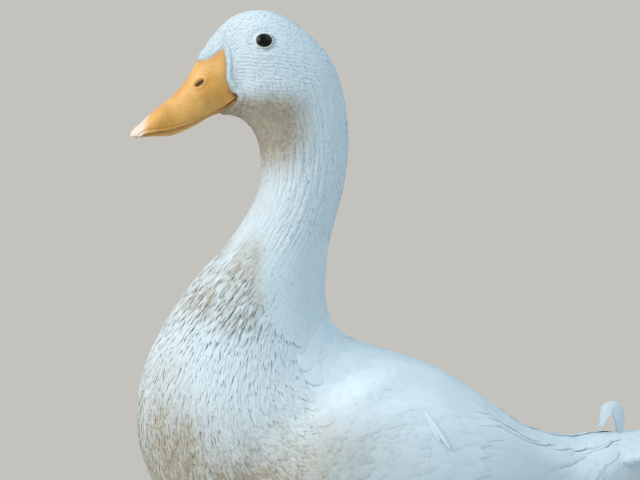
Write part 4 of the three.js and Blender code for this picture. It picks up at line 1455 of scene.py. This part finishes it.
def upper_bill_relief(points, from_edge):
    """The upper bill's height over the plain form and the darkness of its nostrils: a rolled
    rim with a groove above it, the nostrils, a raised nail, and a gentle unevenness."""
    x, y, _ = np.moveaxis(points, -1, 0)
    rim, groove = 0.3 * bell(from_edge, 0.9, 0.7), 0.42 * bell(from_edge, 2.3, 0.55)
    pit, dark = nostril_relief(points)
    nail = ramp(np.hypot((y + 121) / 16, x / 7.5), 1.0, 0.86)
    height = (rim - groove) * ramp(y, -66, -84)
    height = height + pit + 0.4 * nail - bill_base_inset(points)
    return height + 0.12 * noise(points, 5, 8) + 0.18 * noise(points, 14, 9), dark


def add_upper_bill(finish):
    """The upper bill: the form's sections above the mouth line with their relief, and a palate
    that closes it below, straight across from edge to edge with an arch of 1 - s^2."""
    places = BILL_FROM + (LAST_PLACE - BILL_FROM) * np.linspace(0, 1, 270)
    smooth = 21
    edge_turns = np.pad(mouth_turn(places), smooth // 2, mode="edge")
    limit = np.convolve(edge_turns, np.full(smooth, 1 / smooth), "valid")[:, None]
    side = np.linspace(-1, 1, 215)[None]
    side = np.sign(side) * (1 - (1 - np.abs(side)) ** 1.25)
    turns = side * np.minimum(limit, np.pi - 0.02)
    place, turn = np.broadcast_arrays(places[:, None], turns)
    points = loft(place, turn)
    y = points[..., 1]
    from_edge = row_distance(points)
    height, dark = upper_bill_relief(points, from_edge)
    points = points + loft_normals(place, turn) * height[..., None]

    inner = np.linspace(1, -1, 26)[1:-1]
    left, right = points[:, -1:], points[:, :1]
    palate = right + (left - right) * ((inner + 1) / 2)[None, :, None]
    palate[..., 2] += 1.6 * (1 - inner**2)[None] * ramp(places, 26.6, 25)[:, None]
    grid = rounded_tip(np.concatenate([points, palate], axis=1), 3.4, 50)

    # The marks go by the finished surface's x and z, and by the plain form's y.
    x, _, z = np.moveaxis(points, -1, 0)
    specks = 0.8 * ramp(noise(points, 1.1, 11), 0.25, 0.6) * bell(from_edge, 0, 0.8)
    worn = 0.35 * bell(bare_of_feathers(y, z), 0, 3.0) + 0.15 * bell(from_edge, 0, 0.9)
    nail = 0.95 * ramp(y + 0.3 * np.abs(x), -102.5, -109)
    values = {
        "nail": bill_values(nail, 0.0, grid),
        "dark": bill_values(np.clip(dark + mouth_corner(points) + specks, 0, 1), 0.3, grid),
        "worn": bill_values(worn, 0.8, grid),
    }
    points, faces = closed_tube(grid)
    make_piece("upper_bill", points, faces, finish, values, replaces=["bill_upper"])


def add_lower_bill(finish):
    """The lower bill: the form's sections below the mouth line, drawn in under the rim of the
    upper one and finely notched along its edge, with a soft hollow between its two sides and
    a surface above that sags as a sine."""
    places = BILL_FROM + (LOWER_BILL_TO - BILL_FROM) * np.linspace(0, 1, 170)
    limit = mouth_turn(places)[:, None]
    side = np.linspace(0, 1, 111)[None]
    gap = 0.035
    turns = limit + gap + side * (FULL - 2 * limit - 2 * gap)
    place, turn = np.broadcast_arrays(places[:, None], turns)
    points = loft(place, turn)
    x, y = points[..., 0], points[..., 1]
    from_edge = row_distance(points)
    hollow = bell(x, 0, 5.5) * ramp(y, -56, -66) * ramp(y, -106, -98)
    notches = np.sin(y * FULL / 1.3) * bell(from_edge, 0, 1.1) * ramp(y, -62, -68)
    height = -0.8 * ramp(from_edge, 2.4, 0.0) - 0.6 * hollow - bill_base_inset(points)
    height = height + 0.16 * notches
    points = points + loft_normals(place, turn) * height[..., None]

    inner = np.linspace(0, 1, 22)[1:-1]
    last, first = points[:, -1:], points[:, :1]
    mouth = last + (first - last) * inner[None, :, None]
    mouth[..., 2] -= 0.6 * np.sin(np.pi * inner)
    grid = rounded_tip(np.concatenate([points, mouth], axis=1), 1.6, 20)

    # Painted shade: the lower bill darkens towards its root, under the upper bill and the cheek,
    # and along its edge tucked under the upper bill's rim.
    dark = mouth_corner(points) + 0.45 * ramp(y, -62, -50) + 0.2 * bell(from_edge, 0, 1.2)
    values = {
        "nail": bill_values(0 * y, 0.0, grid),
        "dark": bill_values(np.clip(dark, 0, 1), 0.5, grid),
        "worn": bill_values(0.1 + 0.35 * bell(from_edge, 0, 2.0), 0.9, grid),
    }
    points, faces = closed_tube(grid)
    make_piece("lower_bill", points, faces, finish, values, replaces=["bill_lower"])


# ------------------------------------------------------------------ eyes


def side_x(form, y, z):
    """How far out the head's left side stands at points of the side view: the mean of its
    samples, weighted by the inverse cube of their squared distance."""
    head = slice(int(17 * ROWS_PER_STATION), int(21.2 * ROWS_PER_STATION))
    samples = form.points[head, : FORM_AROUND // 2].reshape(-1, 3)
    apart = (y[..., None] - samples[:, 1]) ** 2 + (z[..., None] - samples[:, 2]) ** 2
    weight = 1 / (apart + 0.05) ** 3
    return (weight * samples[:, 0]).sum(axis=-1) / weight.sum(axis=-1)


def eyeball_grid(outer):
    """The left eyeball and its distance from its middle, from 0 to 1: a flattened ball with a
    little swell over its iris, sheared to lie along the side of the head."""
    turns = np.arange(72) * FULL / 72
    polar, turn = np.meshgrid(np.linspace(0, np.pi, 66)[1:-1], turns, indexing="ij")
    across = np.sin(polar)
    swell = 1 + 0.05 * ramp(polar, 1.0, 0.0)
    reach = np.array([-4.5, 4.5])
    slope_y = np.diff(side_x(outer, EYE_Y + reach, EYE_Z + 0 * reach))[0] / np.ptp(reach)
    slope_z = np.diff(side_x(outer, EYE_Y + 0 * reach, EYE_Z + reach))[0] / np.ptp(reach)
    dy, dz = EYE_RADIUS * across * np.cos(turn), 0.85 * EYE_RADIUS * across * np.sin(turn)
    x = EYE_X + EYE_DEPTH * np.cos(polar) * swell + slope_y * dy + slope_z * dz
    return np.stack([x, EYE_Y + dy, EYE_Z + dz], axis=-1), across


def eyelid_grid(outer):
    """The left lid and its darkness: a soft ring laid on the side of the head. Its section is
    an oval that is deeper under the surface than it is high above it, finely creased."""
    turns, sections = np.arange(120) * FULL / 120, np.arange(28) * FULL / 28
    turn, section = np.meshgrid(turns, sections, indexing="ij")
    outwards, height = np.cos(section), np.sin(section)
    y = EYE_Y + (6.0 + 0.65 * outwards) * np.cos(turn)
    flatter = np.where(np.sin(turn) > 0, 0.97, 1.0)
    z = EYE_Z + (5.15 + 0.65 * outwards) * flatter * np.sin(turn)
    rise = np.where(height > 0, 0.5 * height, 1.4 * height) - 0.1
    crease = 0.06 * np.sin(turn * 40 + 3 * np.sin(turn * 3)) * ramp(outwards, -0.4, 0.6)
    x = side_x(outer, y, z) + rise + crease - 0.25 * ramp(outwards, 0.2, 1)
    return np.stack([x, y, z], axis=-1), 0.75 * ramp(outwards, -0.55, -1.0)


def add_eyes(outer, eye, lid):
    """Both eyes, each a ball inside the ring of its lid, whose inner edge lies on the ball and
    whose outer edge lies under the feathers."""
    ball, across = eyeball_grid(outer)
    ring, dark = eyelid_grid(outer)
    ring_faces = ring_quads(*ring.shape[:2], closed_rows=True)[:, [0, 3, 2, 1]]
    for name, side in SIDES:
        mirror = np.array([side, 1, 1])
        points, faces = closed_tube(ball * mirror)
        values = {"ring": with_poles(across)}
        make_piece(f"eyeball_{name}", points, faces, eye, values, replaces=[f"eye_{name}"])
        lid_faces = [ring_faces[:, ::side]]
        make_piece(f"eyelid_{name}", ring * mirror, lid_faces, lid, {"dark": dark})


# ------------------------------------------------------------------ legs and feet


def add_shank(name, side, finish):
    """A leg from the hock to the toes: a tube with broad plates down its front, whose edges
    are the zeros of a sine, and small uneven scales behind."""
    grid = tube(mirrored(SHANK, side), 181, 72)
    form = Form(grid, 0, 1)
    share, _ = form.parameters()
    front = ramp(-form.normals[..., 1], 0.2, 0.75)
    plates = np.abs(np.sin(share * np.pi * 24)) ** 0.5 - 0.7
    height = 0.45 * front * plates + 0.22 * (1 - front) * noise(grid, 1.6, 14)
    points, faces = closed_tube(above_floor(form.grown(height).points, 0.3))
    values = {"dark": with_poles(0.5 * front * ramp(plates, -0.2, -0.6))}
    shank = [f"shank_{name}"]
    make_piece(f"leg_{name}", points, faces, finish, values, replaces=shank)


def toe_path(side, turn):
    """Where a toe starts, and the way it runs along the floor."""
    turn = np.radians(turn) * side
    start = np.array([TOES_FROM[0] * side, TOES_FROM[1], 0.0])
    return start, np.array([np.sin(turn), -np.cos(turn), 0.0])


def toe_grid(start, heading, length, radius):
    """A toe and its darkness: a tube along its path that is flat below, with knuckles at its
    joints and plates across its top, dark in the creases between them."""
    share = np.array([-0.04, 0.03, 0.33, 0.66, 0.93, 1.02])
    heights = radius * np.array([1.0, 1.15, 0.8, 0.68, 0.58, 0.5])
    radii = radius * np.array([0.8, 1.12, 0.98, 0.84, 0.7, 0.3])
    stops = np.concatenate([start + heading * (share * length)[:, None], radii[:, None]], axis=1)
    stops[:, 2] = heights
    form = Form(tube(stops, 150, 40), 0, 1)
    along_toe, _ = form.parameters()
    top = ramp(form.normals[..., 2], 0.1, 0.7)
    knuckles = sum(bell(along_toe, joint, 0.035) for joint in (0.34, 0.6, 0.84))
    plates = np.abs(np.sin(along_toe * length * 0.72)) ** 0.5 - 0.7
    grid = form.grown(0.35 * knuckles + 0.3 * top * plates).points
    return above_floor(grid), 0.5 * top * ramp(plates, -0.2, -0.6)


def claw_grid(start, heading, length, radius):
    """A claw: a short horn that bends down to the floor as it narrows."""
    share = np.linspace(0, 1, 6)
    out = start + heading * (length * 0.955 + CLAW_LENGTH * 1.15 * share)[:, None]
    out[:, 2] = radius * (0.62 + 0.35 * share - 0.85 * share**2)
    radii = radius * 0.52 * (1 - 0.9 * share**1.3)
    return above_floor(tube(np.concatenate([out, radii[:, None]], axis=1), 30, 20))


def web_grid(start, first, second, lengths):
    """The web between two toes and its creases: it spans from one to the other, its front
    edge is a quadratic curve hollowed towards the heel, and its top is creased along the
    toes and rises to meet them."""
    s, t = np.meshgrid(np.linspace(0.08, 1, 60), np.linspace(0, 1, 40), indexing="ij")
    tip_a, tip_b = start + first * lengths[0] * 0.95, start + second * lengths[1] * 0.95
    pull = start + ((tip_a + tip_b) / 2 - start) * 0.8
    weights = (1 - t) ** 2, 2 * t * (1 - t), t**2
    edge = sum(weight[..., None] * at for weight, at in zip(weights, (tip_a, pull, tip_b)))
    flat = start + (edge - start) * s[..., None]
    fold = np.sin(t * np.pi * 9 + 1.2 * np.sin(s * 7)) * np.sin(np.pi * t)
    at_toes = bell(np.minimum(t, 1 - t), 0, 0.09) * (1 - 0.6 * s)
    top = 1.5 + 0.35 * fold * ramp(s, 0.1, 0.4) + 1.4 * at_toes
    top = top * (0.6 + 0.4 * ramp(s, 1.04, 0.96))
    upper, lower = flat.copy(), flat[:, ::-1].copy()
    upper[..., 2] = top
    lower[..., 2] = 0.0
    return np.concatenate([upper, lower], axis=1), fold


def add_foot(name, side, legs, claws):
    """A webbed foot, flat on the floor, and its claws, which darken to their tips."""
    grids, dark, horns = [], [], []
    paths = [(*toe_path(side, turn), length, radius) for turn, length, radius in TOES]
    for path in paths:
        grid, shade = toe_grid(*path)
        grids.append(grid)
        dark.append(with_poles(shade))
        horns.append(claw_grid(*path))
    for (start, first, length_a, _), (_, second, length_b, _) in zip(paths[:-1], paths[1:]):
        grid, fold = web_grid(start, first, second, (length_a, length_b))
        grids.append(grid)
        dark.append(with_poles(np.concatenate([0.3 * ramp(fold, 0.0, -1.0), 0 * fold], axis=1)))
    hind = above_floor(tube(mirrored(HIND_TOE, side), 50, 28))
    grids.append(hind)
    dark.append(with_poles(0 * hind[..., 0]))
    horns.append(tube(mirrored(HIND_CLAW, side), 20, 16))

    points, faces = join([closed_tube(grid) for grid in grids])
    values = {"dark": np.concatenate(dark)}
    foot = [f"foot_{name}"]
    make_piece(f"webbed_foot_{name}", points, faces, legs, values, replaces=foot)
    points, faces = join([closed_tube(grid) for grid in horns])
    tip_dark = 0.7
    shades = [np.repeat(np.linspace(0, tip_dark, grid.shape[0]) ** 2, grid.shape[1])
              for grid in horns]
    values = {"dark": np.concatenate([with_poles(shade, 0, tip_dark) for shade in shades])}
    make_piece(f"claws_{name}", points, faces, claws, values)


# ------------------------------------------------------------------ floor and light

PALE = colour(196, 194, 189)


def add_floor():
    """A round pale floor that takes the duck's shadow, and fades with its distance from the
    duck into a plain pale backdrop of the same colour all round."""
    around = 96
    turn = np.arange(around) * FULL / around
    radii = np.array([0.4, 0.9, 2.0, 8.0])[:, None]
    rings = np.stack([radii * np.cos(turn), radii * np.sin(turn), 0 * radii * turn], axis=-1)
    points = np.concatenate([[(0, 0, 0)], rings.reshape(-1, 3)])
    quads = 1 + ring_quads(len(radii), around)
    fan = [(0, 1 + k, 1 + (k + 1) % around) for k in range(around)]
    mesh = bpy.data.meshes.new("floor")
    mesh.from_pydata(points.tolist(), [], fan + quads.tolist())
    finish = Finish("floor", {"Roughness": 0.9, "Specular IOR Level": 0.2})
    place = finish.place()
    grain = finish.noise(place, 8, 3)
    finish.surface(base=finish.mix(grain, colour(206, 204, 199), colour(212, 210, 206)))
    away = finish.node("ShaderNodeVectorMath", {0: place}, operation="LENGTH").outputs[1]
    seen = finish.node("ShaderNodeLightPath", {}).outputs["Is Camera Ray"]
    far = finish.math("MULTIPLY", finish.ramp(away, 0.45, 1.3), seen)
    backdrop = finish.node("ShaderNodeEmission", {"Color": PALE, "Strength": 1.0}).outputs[0]
    blend = finish.node("ShaderNodeMixShader", {0: far, 1: finish.shader.outputs[0], 2: backdrop})
    output = next(node for node in finish.tree.nodes if node.type == "OUTPUT_MATERIAL")
    finish.tree.links.new(blend.outputs[0], output.inputs[0])
    mesh.materials.append(finish.material)
    floor = bpy.data.objects.new("floor", mesh)
    bpy.context.scene.collection.objects.link(floor)


def add_lamp(name, azimuth, elevation, distance, size, watts, tint):
    """A round soft lamp on a sphere round the duck, turned to its breast."""
    breast = np.array([0, 0, 0.28])
    toward = direction(azimuth, elevation)
    data = bpy.data.lights.new(name, "AREA")
    data.shape = "DISK"
    data.size = size
    data.energy = watts
    data.color = tint
    lamp = bpy.data.objects.new(name, data)
    lamp.location = Vector(breast + distance * toward)
    lamp.rotation_euler = Vector(-toward).to_track_quat("-Z", "Y").to_euler()
    bpy.context.scene.collection.objects.link(lamp)


def add_light():
    """A level, cool sky, which the camera sees as the pale backdrop, a broad key lamp
    high in front of the duck, to its left, and a weak one high behind it."""
    world = bpy.data.worlds.new("world")
    bpy.context.scene.world = world
    world.use_nodes = True
    tree = world.node_tree
    sky = tree.nodes["Background"]
    sky.inputs["Color"].default_value = (0.7, 0.89, 1.0, 1)
    sky.inputs["Strength"].default_value = 0.64
    backdrop = tree.nodes.new("ShaderNodeBackground")
    backdrop.inputs["Color"].default_value = PALE
    backdrop.inputs["Strength"].default_value = 1.0
    rays = tree.nodes.new("ShaderNodeLightPath")
    blend = tree.nodes.new("ShaderNodeMixShader")
    tree.links.new(rays.outputs["Is Camera Ray"], blend.inputs[0])
    tree.links.new(sky.outputs[0], blend.inputs[1])
    tree.links.new(backdrop.outputs[0], blend.inputs[2])
    tree.links.new(blend.outputs[0], tree.nodes["World Output"].inputs[0])
    warm, cool = (1, 0.97, 0.92), (0.85, 0.94, 1)
    add_lamp("key", azimuth=15, elevation=38, distance=2.0, size=1.7, watts=31, tint=warm)
    add_lamp("back", azimuth=150, elevation=62, distance=2.0, size=1.4, watts=5, tint=cool)
    bpy.context.scene.view_settings.view_transform = "Standard"


# ------------------------------------------------------------------ the duck

add_camera()
outer_form, skin_form = build_body_forms()
tail_form = Form.of(tail_surface, 0, 1, 61, 96)
thigh_forms = [thigh_form(side_sign) for _, side_sign in SIDES]

tuft_finish = feather_finish("plumage", 9, 0.00002)
quill_finish = feather_finish("quills", 11, 0.00003)

add_skin(skin_form, tail_form, thigh_forms, skin_finish())
edge_wobble = 0.22 * noise(skin_form.points, 6, 21)
add_head_coat(skin_form, edge_wobble, tuft_finish)
add_neck_coat(skin_form, edge_wobble, tuft_finish)
add_breast_coat(skin_form, edge_wobble, tuft_finish)
add_contour_coat(skin_form, edge_wobble, tuft_finish)
add_vent_coat(skin_form, tuft_finish)
add_thigh_coats(thigh_forms, tuft_finish)
add_wing_coverts(skin_form, edge_wobble, tuft_finish)
add_scapulars(skin_form, edge_wobble, tuft_finish)
add_wings(skin_form, quill_finish)
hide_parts("wing_left")
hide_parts("wing_right")
add_tail(tail_form, quill_finish)
add_curls(quill_finish)

bill_skin = bill_finish()
add_upper_bill(bill_skin)
add_lower_bill(bill_skin)
add_eyes(outer_form, eye_finish(), lid_finish())
leg_skin, claw_horn = leg_finish(), claw_finish()
for side_name, side_sign in SIDES:
    add_shank(side_name, side_sign, leg_skin)
    add_foot(side_name, side_sign, leg_skin, claw_horn)

add_floor()
add_light()
